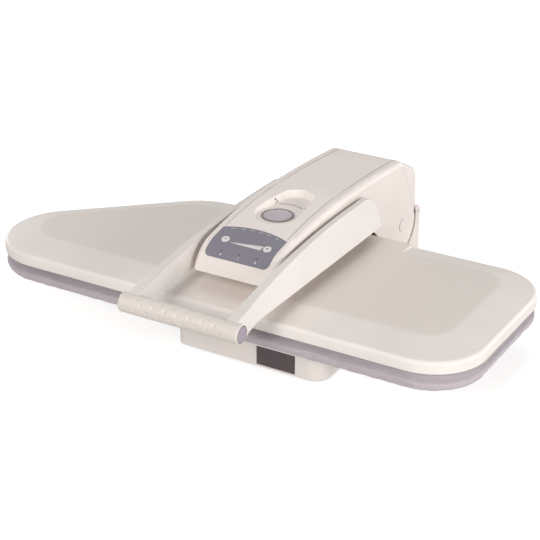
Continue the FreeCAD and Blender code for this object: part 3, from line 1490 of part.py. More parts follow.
def hinge_bracket():
    """Steel U bracket on the sheet, with an eye for the shaft in each cheek."""
    body = new_body("hinge_bracket")
    side = sketch(body, "YZ_Plane", "head_offset - bracket_half")
    path(side, [
        ("hinge_reach - bracket_foot", SHEET_TOP),
        ("hinge_reach + bracket_foot", SHEET_TOP),
        ("hinge_reach + bracket_foot", f"{SHEET_TOP} + bracket_thick"),
        ("hinge_reach + bracket_eye", "hinge_height"),
        ("hinge_reach + bracket_eye", "hinge_height + bracket_eye"),
        ("hinge_reach - bracket_eye", "hinge_height + bracket_eye"),
        ("hinge_reach - bracket_eye", "hinge_height"),
        ("hinge_reach - bracket_foot", f"{SHEET_TOP} + bracket_thick"),
    ])
    block = pad(body, side, "2 * bracket_half")

    def crown(edge):
        box = edge.BoundBox
        return box.XLength > 10 and box.ZMin > number("hinge_height + bracket_eye") - 1
    fillet(body, block, "bracket_eye * 0.95", crown)
    gap = sketch(body, "YZ_Plane", "head_offset + bracket_half - bracket_thick")
    rectangle(gap, "hinge_reach - 2 * bracket_foot", "hinge_reach + 2 * bracket_foot",
              f"{SHEET_TOP} + bracket_thick", "hinge_height + 2 * bracket_eye")
    pocket(body, gap, "2 * (bracket_half - bracket_thick)")
    eyes = sketch(body, "YZ_Plane", "head_offset + bracket_half")
    discs(eyes, [("hinge_reach", "hinge_height")], "shaft_radius + fit_gap")
    pocket(body, eyes, "2 * bracket_half")


def mains_inlet():
    """Appliance inlet in the back of the tower: a sunk socket with three pins."""
    body = new_body("mains_inlet")
    face = sketch(body, "XZ_Plane", f"inlet_depth - {TOWER_REAR}")
    rectangle(face, "head_offset - inlet_half", "head_offset + inlet_half",
              "inlet_low", "inlet_low + inlet_height")
    back = body.newObject("PartDesign::Pad", "mains_inlet_block")
    back.Profile = face
    back.Reversed = True
    bind(back, Length="inlet_depth")
    doc.recompute()
    sink = sketch(body, "XZ_Plane", f"inlet_sink - {TOWER_REAR}")
    rectangle(sink, "head_offset - inlet_half + inlet_wall", "head_offset + inlet_half - inlet_wall",
              "inlet_low + inlet_wall", "inlet_low + inlet_height - inlet_wall")
    pocket(body, sink, "inlet_sink")
    middle = "(inlet_low + inlet_height / 2)"
    for side in (-1, 0, 1):
        pin = sketch(body, "XZ_Plane", f"inlet_sink + pin_thick - {TOWER_REAR}")
        lift = f"{1 - abs(side)} * pin_half"
        rectangle(pin, f"head_offset + {side} * pin_pitch - pin_thick / 2",
                  f"head_offset + {side} * pin_pitch + pin_thick / 2",
                  f"{middle} - pin_half + {lift}", f"{middle} + pin_half + {lift}")
        blade = body.newObject("PartDesign::Pad", "mains_inlet_blade")
        blade.Profile = pin
        blade.Reversed = True
        bind(blade, Length="pin_length + pin_thick")
        doc.recompute()


def check_and_write():
    """Stop if any object failed, then write each piece to its own file."""
    doc.recompute()
    failed = [item.Label for item in doc.Objects if {"Invalid", "Error"} & set(item.State)]
    for item in pieces:
        shape = item.Shape
        if shape.isNull() or not shape.isValid() or not shape.Solids:
            failed.append(item.Label)
    if failed:
        raise RuntimeError(f"failed pieces: {failed}")
    os.makedirs("parts", exist_ok=True)
    for item in pieces:
        item.Shape.exportStep(f"parts/{item.Label}.step")


def main():
    """Build every piece in order and write the files."""
    fill_sheet()
    base_housing()
    base_plate()
    feet_and_screws()
    board()
    hinge_tower()
    hinge_bracket()
    mains_inlet()
    press_cover()
    heating_plate()
    heating_element()
    steam_chamber()
    insulation_mat()
    thermostat()
    plate_hanger()
    hanger_boot()
    head_frame()
    head_shell()
    head_top_panel()
    head_rear_cover()
    control_panel()
    keys_and_lamps()
    control_board()
    steam_button_bezel()
    steam_button()
    steam_switch()
    water_tank()
    pump_and_pipe()
    pivot_parts()
    handle_arm("handle_arm_left", -1)
    handle_arm("handle_arm_right", 1)
    handle_bar()
    check_and_write()


main()
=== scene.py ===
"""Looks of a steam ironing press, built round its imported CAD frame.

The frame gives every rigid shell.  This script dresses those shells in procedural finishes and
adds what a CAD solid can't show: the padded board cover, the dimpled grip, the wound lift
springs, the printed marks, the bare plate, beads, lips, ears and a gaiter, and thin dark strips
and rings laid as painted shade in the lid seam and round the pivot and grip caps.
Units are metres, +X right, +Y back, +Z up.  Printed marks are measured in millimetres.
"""

import functools
import json
import logging
import math
from collections.abc import Iterable, Sequence
from dataclasses import dataclass
from enum import Enum

import bmesh
import bpy
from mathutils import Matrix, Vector, noise
from mathutils.bvhtree import BVHTree

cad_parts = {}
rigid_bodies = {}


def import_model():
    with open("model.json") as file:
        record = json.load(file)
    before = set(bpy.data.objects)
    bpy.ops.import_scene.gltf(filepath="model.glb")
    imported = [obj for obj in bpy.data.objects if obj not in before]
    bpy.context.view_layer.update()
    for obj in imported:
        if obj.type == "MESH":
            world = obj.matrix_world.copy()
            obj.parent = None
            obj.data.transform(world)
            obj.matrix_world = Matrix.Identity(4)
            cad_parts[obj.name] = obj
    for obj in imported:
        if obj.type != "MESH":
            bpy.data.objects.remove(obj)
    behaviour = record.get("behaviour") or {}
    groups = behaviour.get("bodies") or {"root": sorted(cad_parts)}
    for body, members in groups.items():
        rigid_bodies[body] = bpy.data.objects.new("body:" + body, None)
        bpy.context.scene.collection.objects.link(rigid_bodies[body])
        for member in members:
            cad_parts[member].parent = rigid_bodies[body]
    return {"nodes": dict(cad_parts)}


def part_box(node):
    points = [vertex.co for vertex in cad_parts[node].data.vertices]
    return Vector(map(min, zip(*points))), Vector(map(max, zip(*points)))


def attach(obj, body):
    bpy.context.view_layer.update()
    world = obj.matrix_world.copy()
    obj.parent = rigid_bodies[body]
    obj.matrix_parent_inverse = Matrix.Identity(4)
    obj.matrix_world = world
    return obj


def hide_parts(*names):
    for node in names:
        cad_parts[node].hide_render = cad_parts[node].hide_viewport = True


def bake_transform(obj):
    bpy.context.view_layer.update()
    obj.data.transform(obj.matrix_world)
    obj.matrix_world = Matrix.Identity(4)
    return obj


Node = bpy.types.Node
Piece = bpy.types.Object
Socket = bpy.types.NodeSocket
Tree = bpy.types.NodeTree
Point = tuple[float, float]
Spot = tuple[float, float, float]
Disc = tuple[float, float, float]  # X and Y of a printed disc's middle, and its radius
Bar = tuple[float, ...]  # X and Y of a printed bar's middle, its length, thickness and turn

LOG = logging.getLogger("steam_press")
MM = 0.001
SIDES = (("left", -1), ("right", 1))
PLAN_AXES = (Vector((1, 0, 0)), Vector((0, 1, 0)))
DOWN = Vector((0, 0, -1))
ABOVE = 1.0  # height from which rays fall on the press
WHITE = "#ffffff"
NOISE_LOW, NOISE_HIGH = 0.3, 0.7  # range that most of a noise pattern keeps to
DRIFT_MM = 110  # a hand's breadth
POLISH_MM = 18  # patches of brighter and duller polish
POLISH_SWING = 0.05  # in roughness, to each side
BRUSH_STRETCH = (0.06, 1.0, 1.0)  # draws the grain out along X
WAVE_SHARE = 6.3  # gives one period of Blender's wave to two threads, one over and one under
DISC_POINTS = 20
RING_POINTS, WIRE_POINTS = 96, 12


def linear(hex_colour: str) -> tuple[float, float, float, float]:
    """Turn an sRGB hex colour into linear RGBA.

    Args:
        hex_colour: Six hex digits after a hash, as read off the object.

    Returns:
        Linear red, green, blue and an alpha of 1.
    """
    values = (int(hex_colour[start:start + 2], 16) / 255 for start in (1, 3, 5))
    red, green, blue = (value / 12.92 if value <= 0.04045 else ((value + 0.055) / 1.055) ** 2.4
                        for value in values)
    return red, green, blue, 1.0


def per_mm(size_mm: float) -> float:
    """Texture scale at which one feature is about size_mm wide."""
    return 1.0 / (size_mm * MM)


def add_node(tree: Tree, kind: str, inputs: dict | None = None, **settings: object) -> Node:
    """Add a node with its settings, values and links.

    Args:
        tree: Node tree that gets the node.
        kind: Blender's type name of the node.
        inputs: Value, or socket to link from, for each named or numbered input.
        settings: Properties of the node itself.

    Returns:
        The new node.
    """
    node = tree.nodes.new(kind)
    for name, value in settings.items():
        setattr(node, name, value)
    for name, value in (inputs or {}).items():
        if isinstance(value, Socket):
            tree.links.new(value, node.inputs[name])
        else:
            node.inputs[name].default_value = value
    return node


class Grain(Enum):
    """How a surface was made; the value is the depth of detail of its relief."""

    MOULDED = 2.0  # spark eroded tool
    SMOOTH = 1.0  # polished tool
    BRUSHED = 4.0  # ground in one direction
    CAST = 6.0  # sand or die cast
    NEEDLED = 8.0  # needled fibre


@dataclass(frozen=True)
class Finish:
    """A material named for what it is and how its surface was made.

    Args:
        name: Common name of the material and its making.
        colour: sRGB hex colour.
        roughness: Mean roughness.
        grain: Pattern of the fine relief.
        grain_mm: Width of one feature of the relief.
        relief_mm: Depth of the relief.
        cloud: Share by which the colour drifts over a hand's breadth.
        metallic: 1 for bare metal.
        ior: Index of refraction of a non-metal.
        edge_mm: Radius that light sees on sharp CAD edges.
        gloss: Specular level, lower where a grain breaks up the shine.
    """

    name: str
    colour: str
    roughness: float
    grain: Grain = Grain.MOULDED
    grain_mm: float = 1.4
    relief_mm: float = 0.02
    cloud: float = 0.03
    metallic: float = 0.0
    ior: float = 1.5
    edge_mm: float = 0.6
    gloss: float = 0.5

    def tint(self, tree: Tree, place: Socket) -> Socket:
        """Base colour with a slow drift, as in any moulded or rolled piece.

        Args:
            tree: Node tree of the material.
            place: Object coordinates.

        Returns:
            Socket with the colour.
        """
        drift = add_node(tree, "ShaderNodeTexNoise", {
            "Vector": place, "Scale": per_mm(DRIFT_MM), "Detail": 3.0,
        })
        red, green, blue, _ = linear(self.colour)
        ramp = add_node(tree, "ShaderNodeValToRGB", {"Fac": drift.outputs["Fac"]})
        for element, share in zip(ramp.color_ramp.elements, (1 - self.cloud, 1 + self.cloud)):
            element.color = (red * share, green * share, blue * share, 1.0)
        ramp.color_ramp.elements[0].position = NOISE_LOW
        ramp.color_ramp.elements[1].position = NOISE_HIGH
        return ramp.outputs["Color"]

    def shader(self, tree: Tree) -> Node:
        """Build the surface.

        Args:
            tree: Node tree of the material.

        Returns:
            The shader node.
        """
        place = add_node(tree, "ShaderNodeTexCoord").outputs["Object"]
        stretch = BRUSH_STRETCH if self.grain is Grain.BRUSHED else (1.0, 1.0, 1.0)
        drawn = add_node(tree, "ShaderNodeMapping", {"Vector": place, "Scale": stretch})
        relief = add_node(tree, "ShaderNodeTexNoise", {
            "Vector": drawn.outputs["Vector"], "Scale": per_mm(self.grain_mm),
            "Detail": self.grain.value,
        })
        polish = add_node(tree, "ShaderNodeTexNoise", {
            "Vector": place, "Scale": per_mm(POLISH_MM), "Detail": 4.0,
        })
        rough = add_node(tree, "ShaderNodeMapRange", {
            "Value": polish.outputs["Fac"], "From Min": NOISE_LOW, "From Max": NOISE_HIGH,
            "To Min": self.roughness - POLISH_SWING, "To Max": self.roughness + POLISH_SWING,
        })
        edge = add_node(tree, "ShaderNodeBevel", {"Radius": self.edge_mm * MM}, samples=4)
        bump = add_node(tree, "ShaderNodeBump", {
            "Height": relief.outputs["Fac"], "Normal": edge.outputs["Normal"],
            "Strength": 0.5, "Distance": self.relief_mm * MM,
        })
        return add_node(tree, "ShaderNodeBsdfPrincipled", {
            "Base Color": self.tint(tree, place), "Roughness": rough.outputs["Result"],
            "Metallic": self.metallic, "IOR": self.ior, "Specular IOR Level": self.gloss,
            "Normal": bump.outputs["Normal"],
        })


@dataclass(frozen=True)
class CrownShadedPlastic(Finish):
    """Moulded cover whose flat raised crown is tinted darker than its border: painted shade for
    the weaker light on the crown.

    Args:
        crown_shade: sRGB hex colour of the painted shade on the crown.
        crown_height: Height of the crown above the table.
        crown_fade: Height over which the painted shade fades out below the crown.
    """

    crown_shade: str = "#e5dcd4"
    crown_height: float = 165 * MM
    crown_fade: float = 1.2 * MM

    def tint(self, tree: Tree, place: Socket) -> Socket:
        """Border colour, with the crown's painted shade where the surface reaches its height.

        Args:
            tree: Node tree of the material.
            place: Object coordinates.

        Returns:
            Socket with the colour.
        """
        border = super().tint(tree, place)
        height = add_node(tree, "ShaderNodeSeparateXYZ", {"Vector": place}).outputs["Z"]
        share = add_node(tree, "ShaderNodeMapRange", {
            "Value": height, "From Min": self.crown_height - self.crown_fade,
            "From Max": self.crown_height,
        }, interpolation_type="SMOOTHSTEP")
        return add_node(tree, "ShaderNodeMixRGB", {
            "Fac": share.outputs["Result"], "Color1": border, "Color2": linear(self.crown_shade),
        }).outputs["Color"]


@dataclass(frozen=True)
class WovenCloth(Finish):
    """Plain weave over foam.

    Args:
        thread_mm: Spacing of the threads, drawn coarser than the real 0.5 mm so that it shows.
        shade: sRGB hex colour of the painted shade between the threads.
        sheen: Weight of the fuzz.
    """

    thread_mm: float = 1.7
    shade: str = "#b4a9ae"
    sheen: float = 0.25

    def shader(self, tree: Tree) -> Node:
        """Build the cloth: threads cross in all three planes, so that it needs no unwrapping.

        Args:
            tree: Node tree of the material.

        Returns:
            The shader node.
        """
        place = add_node(tree, "ShaderNodeTexCoord").outputs["Object"]
        waves = [add_node(tree, "ShaderNodeTexWave", {
            "Vector": place, "Scale": per_mm(self.thread_mm) / WAVE_SHARE, "Distortion": 1.2,
            "Detail": 2.0, "Detail Scale": 1.5,
        }, wave_type="BANDS", bands_direction=axis).outputs["Fac"] for axis in "XYZ"]
        pair = add_node(tree, "ShaderNodeMath", {0: waves[0], 1: waves[1]}, operation="ADD")
        threads = add_node(tree, "ShaderNodeMath", {0: pair.outputs[0], 1: waves[2]},
                           operation="ADD").outputs[0]
        slub = add_node(tree, "ShaderNodeTexNoise", {
            "Vector": place, "Scale": per_mm(self.grain_mm), "Detail": 5.0,
        })
        depth = add_node(tree, "ShaderNodeMapRange", {
            "Value": threads, "From Min": 0.4, "From Max": 2.2, "To Min": 0.0, "To Max": 0.75,
        })
        mixed = add_node(tree, "ShaderNodeMath", {
            0: depth.outputs["Result"], 1: slub.outputs["Fac"],
        }, operation="MULTIPLY")
        # Painted shade: the colour darkens towards the shade colour where the threads dip, and the
        # random slub varies it
        colour = add_node(tree, "ShaderNodeMixRGB", {
            "Fac": mixed.outputs[0], "Color1": linear(self.shade), "Color2": linear(self.colour),
        })
        bump = add_node(tree, "ShaderNodeBump", {
            "Height": threads, "Strength": 0.45, "Distance": self.relief_mm * MM,
        })
        return add_node(tree, "ShaderNodeBsdfPrincipled", {
            "Base Color": colour.outputs["Color"], "Roughness": self.roughness,
            "Sheen Weight": self.sheen, "Sheen Roughness": 0.5, "Normal": bump.outputs["Normal"],
        })


def empty_tree(owner: bpy.types.Material | bpy.types.World) -> Tree:
    """Empty node tree of a material or a world.

    Args:
        owner: The material or the world.

    Returns:
        Its tree.
    """
    owner.use_nodes = True
    owner.node_tree.nodes.clear()
    return owner.node_tree


@functools.cache
def material_of(finish: Finish) -> bpy.types.Material:
    """Make the Blender material of a finish once.

    Args:
        finish: The finish.

    Returns:
        Its material.
    """
    made = bpy.data.materials.new(finish.name)
    tree = empty_tree(made)
    surface = finish.shader(tree)
    add_node(tree, "ShaderNodeOutputMaterial", {"Surface": surface.outputs[0]})
    return made


# ABS from a fine eroded tool: satin, warm white, soft wide highlights
# The cover's crown is tinted darker than its border as painted shade
COVER_ABS = CrownShadedPlastic("moulded_abs_cover", "#ece4de", 0.4, gloss=0.2)
HEAD_ABS = Finish("moulded_abs_head", "#ece2dc", 0.42, gloss=0.2)
# Lid: the head's plastic made a shade lighter, as painted light on the head's top
LID_LIT_ABS = Finish("moulded_abs_lid_painted_light", "#f0e6e0", 0.42, gloss=0.2)
ARM_ABS = Finish("moulded_abs_arm", "#e5ded9", 0.4, gloss=0.2)
GRIP_ABS = Finish("moulded_abs_grip", "#ddd4cc", 0.34, relief_mm=0.03, gloss=0.4)
# Base: the same plastic made a shade lighter, as painted light against its shade under the board
BASE_LIT_ABS = Finish("moulded_abs_base_painted_light", "#f0e8e2", 0.45, gloss=0.2)
KEY_ABS = Finish("moulded_abs_keys", "#e2dedb", 0.35, Grain.SMOOTH)
# ABS coloured through in lilac grey: satin, with a clearer shine on the polished button
CAP_ABS = Finish("moulded_abs_grey_caps", "#a498a3", 0.38)
BUTTON_ABS = Finish("polished_abs_steam_button", "#b9aeb3", 0.25, Grain.SMOOTH)
BEZEL_ABS = Finish("moulded_abs_dark_ring", "#7f7577", 0.4)
# Nylon: near black and half matt
INLET_PA = Finish("moulded_nylon_black", "#26262a", 0.5)
# Polyester film, printed behind: flat grey with a faint leathery emboss
PANEL_FILM = Finish("embossed_polyester_film", "#7c7883", 0.38, grain_mm=0.9, cloud=0.04)
# Screen ink: thin, even and half matt
INK_PALE = Finish("screen_ink_pale", "#dcd8d6", 0.5, Grain.SMOOTH)
INK_DARK = Finish("screen_ink_dark", "#5f5655", 0.5, Grain.SMOOTH)
# Acrylic: a small sharp highlight over dull red
LENS_PMMA = Finish("moulded_acrylic_red", "#7d5c66", 0.12, Grain.SMOOTH, ior=1.49)
# Anodised plate: dark, with a faint line of grinding
PLATE_FILM = Finish("anodised_aluminium_dark_plate", "#5a4f52", 0.42, Grain.BRUSHED, grain_mm=1.2)
# Cotton over foam: matt lilac grey with a soft fuzz
BOARD_COTTON = WovenCloth("woven_cotton_cover", "#d2cad0", 0.9, grain_mm=9, relief_mm=0.25)
# Bare metals keep the default IOR: streaked where ground or drawn, grainy where cast
PRESS_ALUMINIUM = Finish("cast_aluminium_press_plate", "#c9c8c6", 0.33, Grain.BRUSHED,
                         grain_mm=1.5, relief_mm=0.03, metallic=1.0)
CAST_ALUMINIUM = Finish("die_cast_aluminium", "#b6b4b2", 0.5, Grain.CAST, grain_mm=2.2,
                        relief_mm=0.08, metallic=1.0)
SHEET_STEEL = Finish("zinc_plated_sheet_steel", "#b4b5b4", 0.4, Grain.CAST, grain_mm=6,
                     relief_mm=0.01, cloud=0.08, metallic=1.0)
SHAFT_STEEL = Finish("ground_steel_shaft", "#bdbcba", 0.25, Grain.BRUSHED, grain_mm=0.8,
                     metallic=1.0)
SPRING_STEEL = Finish("drawn_spring_steel", "#7d7b78", 0.35, Grain.BRUSHED, grain_mm=0.8,
                      metallic=1.0)
ELEMENT_STEEL = Finish("heat_tinted_steel_tube", "#8a7d72", 0.4, Grain.BRUSHED, grain_mm=1.0,
                       cloud=0.15, metallic=1.0)
PIPE_BRASS = Finish("drawn_brass_pipe", "#b89a5a", 0.3, Grain.BRUSHED, grain_mm=0.9, metallic=1.0)
# Powder coat over steel: a fine orange peel, half matt
PAN_STEEL = Finish("powder_coated_steel_pan", "#c9c4c1", 0.5, Grain.CAST, grain_mm=1.1)
FRAME_STEEL = Finish("powder_coated_steel_frame", "#3c3c3e", 0.55, Grain.CAST, grain_mm=1.0,
                     relief_mm=0.05)
# Rubber and silicone: matt, with almost no highlight
RUBBER = Finish("moulded_nitrile_rubber", "#2c2b2c", 0.75, grain_mm=0.9, relief_mm=0.03)
BOOT_RUBBER = Finish("moulded_silicone_boot", "#b9b1ac", 0.65, grain_mm=1.0)
# Grey silicone whose dark tone is painted shade, laid in the lid seam and round the pivot caps
SHADE_SILICONE = Finish("silicone_painted_shade_strip", "#948a86", 0.7, grain_mm=1.0)
# Acetal and polyethylene: waxy, milky and smooth
BUSH_ACETAL = Finish("turned_acetal", "#d6d2c6", 0.4, Grain.SMOOTH)
TANK_PE = Finish("blow_moulded_polyethylene", "#c3cdd3", 0.35, Grain.SMOOTH, cloud=0.06)
# Glass fibre: green and glossy as a board, chalky and loose as a mat
LAMINATE = Finish("glass_fibre_laminate", "#2f6a44", 0.4, Grain.BRUSHED, grain_mm=1.0)
MAT_FIBRE = Finish("needled_glass_fibre", "#d8d6cf", 0.95, Grain.NEEDLED, grain_mm=3.0,
                   relief_mm=0.5)


def new_piece(name: str, vertices: Sequence[Sequence[float]], faces: Iterable[Sequence[int]],
              finish: Finish) -> Piece:
    """Make a mesh object with a finish.

    Args:
        name: Name of the piece.
        vertices: Points in metres.
        faces: Corner numbers of each face.
        finish: Its finish.

    Returns:
        The object, smooth shaded and linked to the scene.
    """
    mesh = bpy.data.meshes.new(name)
    mesh.from_pydata([tuple(point) for point in vertices], [], [tuple(face) for face in faces])
    mesh.validate()
    facing = bmesh.new()
    facing.from_mesh(mesh)
    bmesh.ops.recalc_face_normals(facing, faces=facing.faces)
    facing.to_mesh(mesh)
    facing.free()
    mesh.shade_smooth()
    mesh.materials.append(material_of(finish))
    made = bpy.data.objects.new(name, mesh)
    bpy.context.scene.collection.objects.link(made)
    return made


def ring_faces(rings: int, count: int, closed: bool = False) -> list[tuple[int, ...]]:
    """Quads between successive rings of points.

    Args:
        rings: Number of rings.
        count: Points in each ring.
        closed: Whether the last ring joins the first.

    Returns:
        Corner numbers of the quads.
    """
    last = rings if closed else rings - 1
    return [(ring * count + place, ring * count + (place + 1) % count,
             (ring + 1) % rings * count + (place + 1) % count, (ring + 1) % rings * count + place)
            for ring in range(last) for place in range(count)]


def tube_faces(rings: int, count: int) -> list[tuple[int, ...]]:
    """Quads between successive rings, with a cap on the first and the last ring."""
    last = (rings - 1) * count
    return ring_faces(rings, count) + [tuple(range(count)), tuple(range(last, last + count))]


def spoke(angle: float) -> Vector:
    """Direction at an angle round the X axis, counted from +Y towards +Z."""
    return Vector((0.0, math.cos(angle), math.sin(angle)))


def centre_of(node: str) -> Vector:
    """Middle of a CAD node's box at rest."""
    low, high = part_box(node)
    return (low + high) / 2


def half_of(node: str) -> Vector:
    """Half of the size of a CAD node's box at rest."""
    low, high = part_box(node)
    return (high - low) / 2


def bake_modifiers(piece: Piece) -> None:
    """Write the piece's modified shape into its own mesh and drop the modifiers.

    Args:
        piece: Object with modifiers.
    """
    graph = bpy.context.evaluated_depsgraph_get()
    shaped = bpy.data.meshes.new_from_object(piece.evaluated_get(graph))
    piece.modifiers.clear()
    piece.data = shaped


def thicken(piece: Piece, thick: float, offset: float) -> None:
    """Give a sheet its thickness.

    Args:
        piece: The sheet.
        thick: Its thickness.
        offset: -1 to grow below the sheet, 0 to grow to both sides.
    """
    skin = piece.modifiers.new("skin", "SOLIDIFY")
    skin.thickness = thick
    skin.offset = offset
    bake_modifiers(piece)


@dataclass
class Frame:
    """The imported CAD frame."""

    nodes: dict[str, Piece]

    def dress(self, looks: dict[Finish, str]) -> None:
        """Give CAD nodes their finishes.

        Args:
            looks: Names of the nodes, with spaces between, for each finish.
        """
        for finish, names in looks.items():
            for name in names.split():
                mesh = self.nodes[name].data
                mesh.materials.clear()
                mesh.materials.append(material_of(finish))

    def skin(self, *names: str) -> BVHTree:
        """Surface of CAD nodes, for laying marks on them.

        Args:
            names: Names of the nodes.

        Returns:
            Search tree of their faces.
        """
        points: list[Vector] = []
        faces: list[list[int]] = []
        for name in names:
            mesh = self.nodes[name].data
            start = len(points)
            points += [vertex.co.copy() for vertex in mesh.vertices]
            faces += [[start + corner for corner in face.vertices] for face in mesh.polygons]
        return BVHTree.FromPolygons(points, faces)


@dataclass(frozen=True)
class Lamp:
    """A square soft lamp: its place, the length of its side and its power in watts."""

    name: str
    place: Spot
    side: float
    watts: float


@dataclass
class Stage:
    """Floor, soft light and the camera at the photograph's place."""

    eye: Spot = (1.3466, -2.2642, 1.3822)
    sight: Spot = (-0.4605, 0.7757, -0.4316)
    lens_mm: float = 100.33
    sensor_mm: float = 36.0
    far_clip: float = 60.0
    floor_half: float = 12.0
    floor_drop: float = 0.2 * MM
    floor_colour: str = "#e0dfde"
    floor_glow: Point = (0.6, 1.0)
    floor_reach: Point = (0.6, 1.6)
    sky_strength: float = 0.24
    lamp_aim: Spot = (0.0, 0.0, 0.15)
    lamps: tuple[Lamp, ...] = (
        Lamp("left_softbox", (-3.08, -2.16, 1.52), 1.6, 12.0),
        Lamp("front_softbox", (0.53, -3.79, 2.02), 1.3, 71.0),
        Lamp("top_softbox", (0.0, -0.5, 3.5), 2.2, 24.0),
        Lamp("right_softbox", (4.25, -1.14, 1.09), 1.6, 96.0),
        Lamp("rear_right_softbox", (2.2, 3.2, 0.75), 1.6, 42.0),
        Lamp("rear_left_softbox", (-3.4, 1.4, 0.85), 1.6, 36.0),
    )

    def build(self) -> None:
        """Make the stage and show colours as they are written."""
        bpy.context.scene.view_settings.view_transform = "Standard"
        self.add_world()
        self.add_floor()
        for lamp in self.lamps:
            light = bpy.data.lights.new(lamp.name, "AREA")
            light.size = lamp.side
            light.energy = lamp.watts
            self.stand(light, lamp.place, Vector(self.lamp_aim) - Vector(lamp.place))
        camera = bpy.data.cameras.new("camera")
        camera.lens = self.lens_mm
        camera.sensor_width = self.sensor_mm
        camera.clip_end = self.far_clip
        bpy.context.scene.camera = self.stand(camera, self.eye, Vector(self.sight))

    def stand(self, data: bpy.types.ID, place: Spot, sight: Vector) -> Piece:
        """Stand a lamp or the camera at its place.

        Args:
            data: The lamp or the camera.
            place: Its place.
            sight: Direction that it faces.

        Returns:
            The object.
        """
        made = bpy.data.objects.new(data.name, data)
        made.location = place
        made.rotation_euler = sight.to_track_quat("-Z", "Y").to_euler()
        bpy.context.scene.collection.objects.link(made)
        return made

    def add_world(self) -> None:
        """White to the eye and in reflections, an even sky for the light."""
        world = bpy.data.worlds.new("studio_white")
        tree = empty_tree(world)
        rays = add_node(tree, "ShaderNodeLightPath")
        seen = rays.outputs["Is Camera Ray"]
        for kind in ("Is Glossy Ray", "Is Transmission Ray"):
            seen = add_node(tree, "ShaderNodeMath", {0: seen, 1: rays.outputs[kind]},
                            operation="MAXIMUM").outputs[0]
        sky, white = (add_node(tree, "ShaderNodeBackground", {
            "Color": linear(WHITE), "Strength": strength,
        }) for strength in (self.sky_strength, 1.0))
        mixed = add_node(tree, "ShaderNodeMixShader", {
            0: seen, 1: sky.outputs[0], 2: white.outputs[0],
        })
        add_node(tree, "ShaderNodeOutputWorld", {"Surface": mixed.outputs[0]})
        bpy.context.scene.world = world

    def add_floor(self) -> None:
        """Pale floor that takes the shadow and runs out into white."""
        half = self.floor_half
        made = bpy.data.materials.new("matt_paper_floor")
        tree = empty_tree(made)
        rays = add_node(tree, "ShaderNodeLightPath")
        paper = add_node(tree, "ShaderNodeBsdfDiffuse", {"Color": linear(self.floor_colour)})
        place = add_node(tree, "ShaderNodeTexCoord").outputs["Object"]
        away = add_node(tree, "ShaderNodeVectorMath", {0: place}, operation="LENGTH")
        rise = add_node(tree, "ShaderNodeMapRange", {
            "Value": away.outputs["Value"],
            "From Min": self.floor_reach[0], "From Max": self.floor_reach[1],
            "To Min": self.floor_glow[0], "To Max": self.floor_glow[1],
        })
        dark, glow = (add_node(tree, "ShaderNodeEmission", {
            "Color": linear(WHITE), "Strength": strength,
        }) for strength in (0.0, rise.outputs["Result"]))
        lift = add_node(tree, "ShaderNodeMixShader", {
            0: rays.outputs["Is Camera Ray"], 1: dark.outputs[0], 2: glow.outputs[0],
        })
        both = add_node(tree, "ShaderNodeAddShader", {0: paper.outputs[0], 1: lift.outputs[0]})
        add_node(tree, "ShaderNodeOutputMaterial", {"Surface": both.outputs[0]})
        mesh = bpy.data.meshes.new("floor")
        corners = [(-half, -half, 0), (half, -half, 0), (half, half, 0), (-half, half, 0)]
        mesh.from_pydata(corners, [], [(0, 1, 2, 3)])
        mesh.materials.append(made)
        floor = bpy.data.objects.new("floor", mesh)
        floor.location.z = -self.floor_drop
        bpy.context.scene.collection.objects.link(floor)


@dataclass
class PlanOutline:
    """Plan of the board and the cover: straight front, round right end, tapered left end."""

    corner: float = 105 * MM
    nose: float = 120 * MM
    shoulder: float = 140 * MM
    taper: float = math.radians(42.3)

    def samples(self, spacing: float) -> list[tuple[Vector, Vector]]:
        """Points along the outline, each with its outward direction.

        Args:
            spacing: Distance between points.

        Returns:
            Point and outward direction pairs, anticlockwise.
        """
        low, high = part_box("press_cover")
        nose = Vector((low.x + self.nose, low.y + self.nose))
        run = (math.cos(self.taper) * (high.y - self.shoulder - nose.y)
               - self.nose + self.shoulder) / math.sin(self.taper)
        shoulder = Vector((nose.x + run, high.y - self.shoulder))
        front = Vector((high.x - self.corner, low.y + self.corner))
        rear = Vector((high.x - self.corner, high.y - self.corner))
        quarter = math.pi / 2
        arcs = [(front, self.corner, -quarter, 0.0), (rear, self.corner, 0.0, quarter),
                (shoulder, self.shoulder, quarter, quarter + self.taper),
                (nose, self.nose, quarter + self.taper, 3 * quarter)]
        found: list[tuple[Vector, Vector]] = []
        for (centre, radius, start, end), after in zip(arcs, arcs[1:] + arcs[:1]):
            steps = max(4, round(radius * (end - start) / spacing))
            for step in range(steps + 1):
                angle = start + (end - start) * step / steps
                out = Vector((math.cos(angle), math.sin(angle)))
                found.append((centre + out * radius, out))
            here = found[-1][0]
            out = Vector((math.cos(end), math.sin(end)))
            there = after[0] + Vector((math.cos(after[2]), math.sin(after[2]))) * after[1]
            steps = max(2, round((there - here).length / spacing))
            found += [(here.lerp(there, step / steps), out) for step in range(1, steps)]
        return found


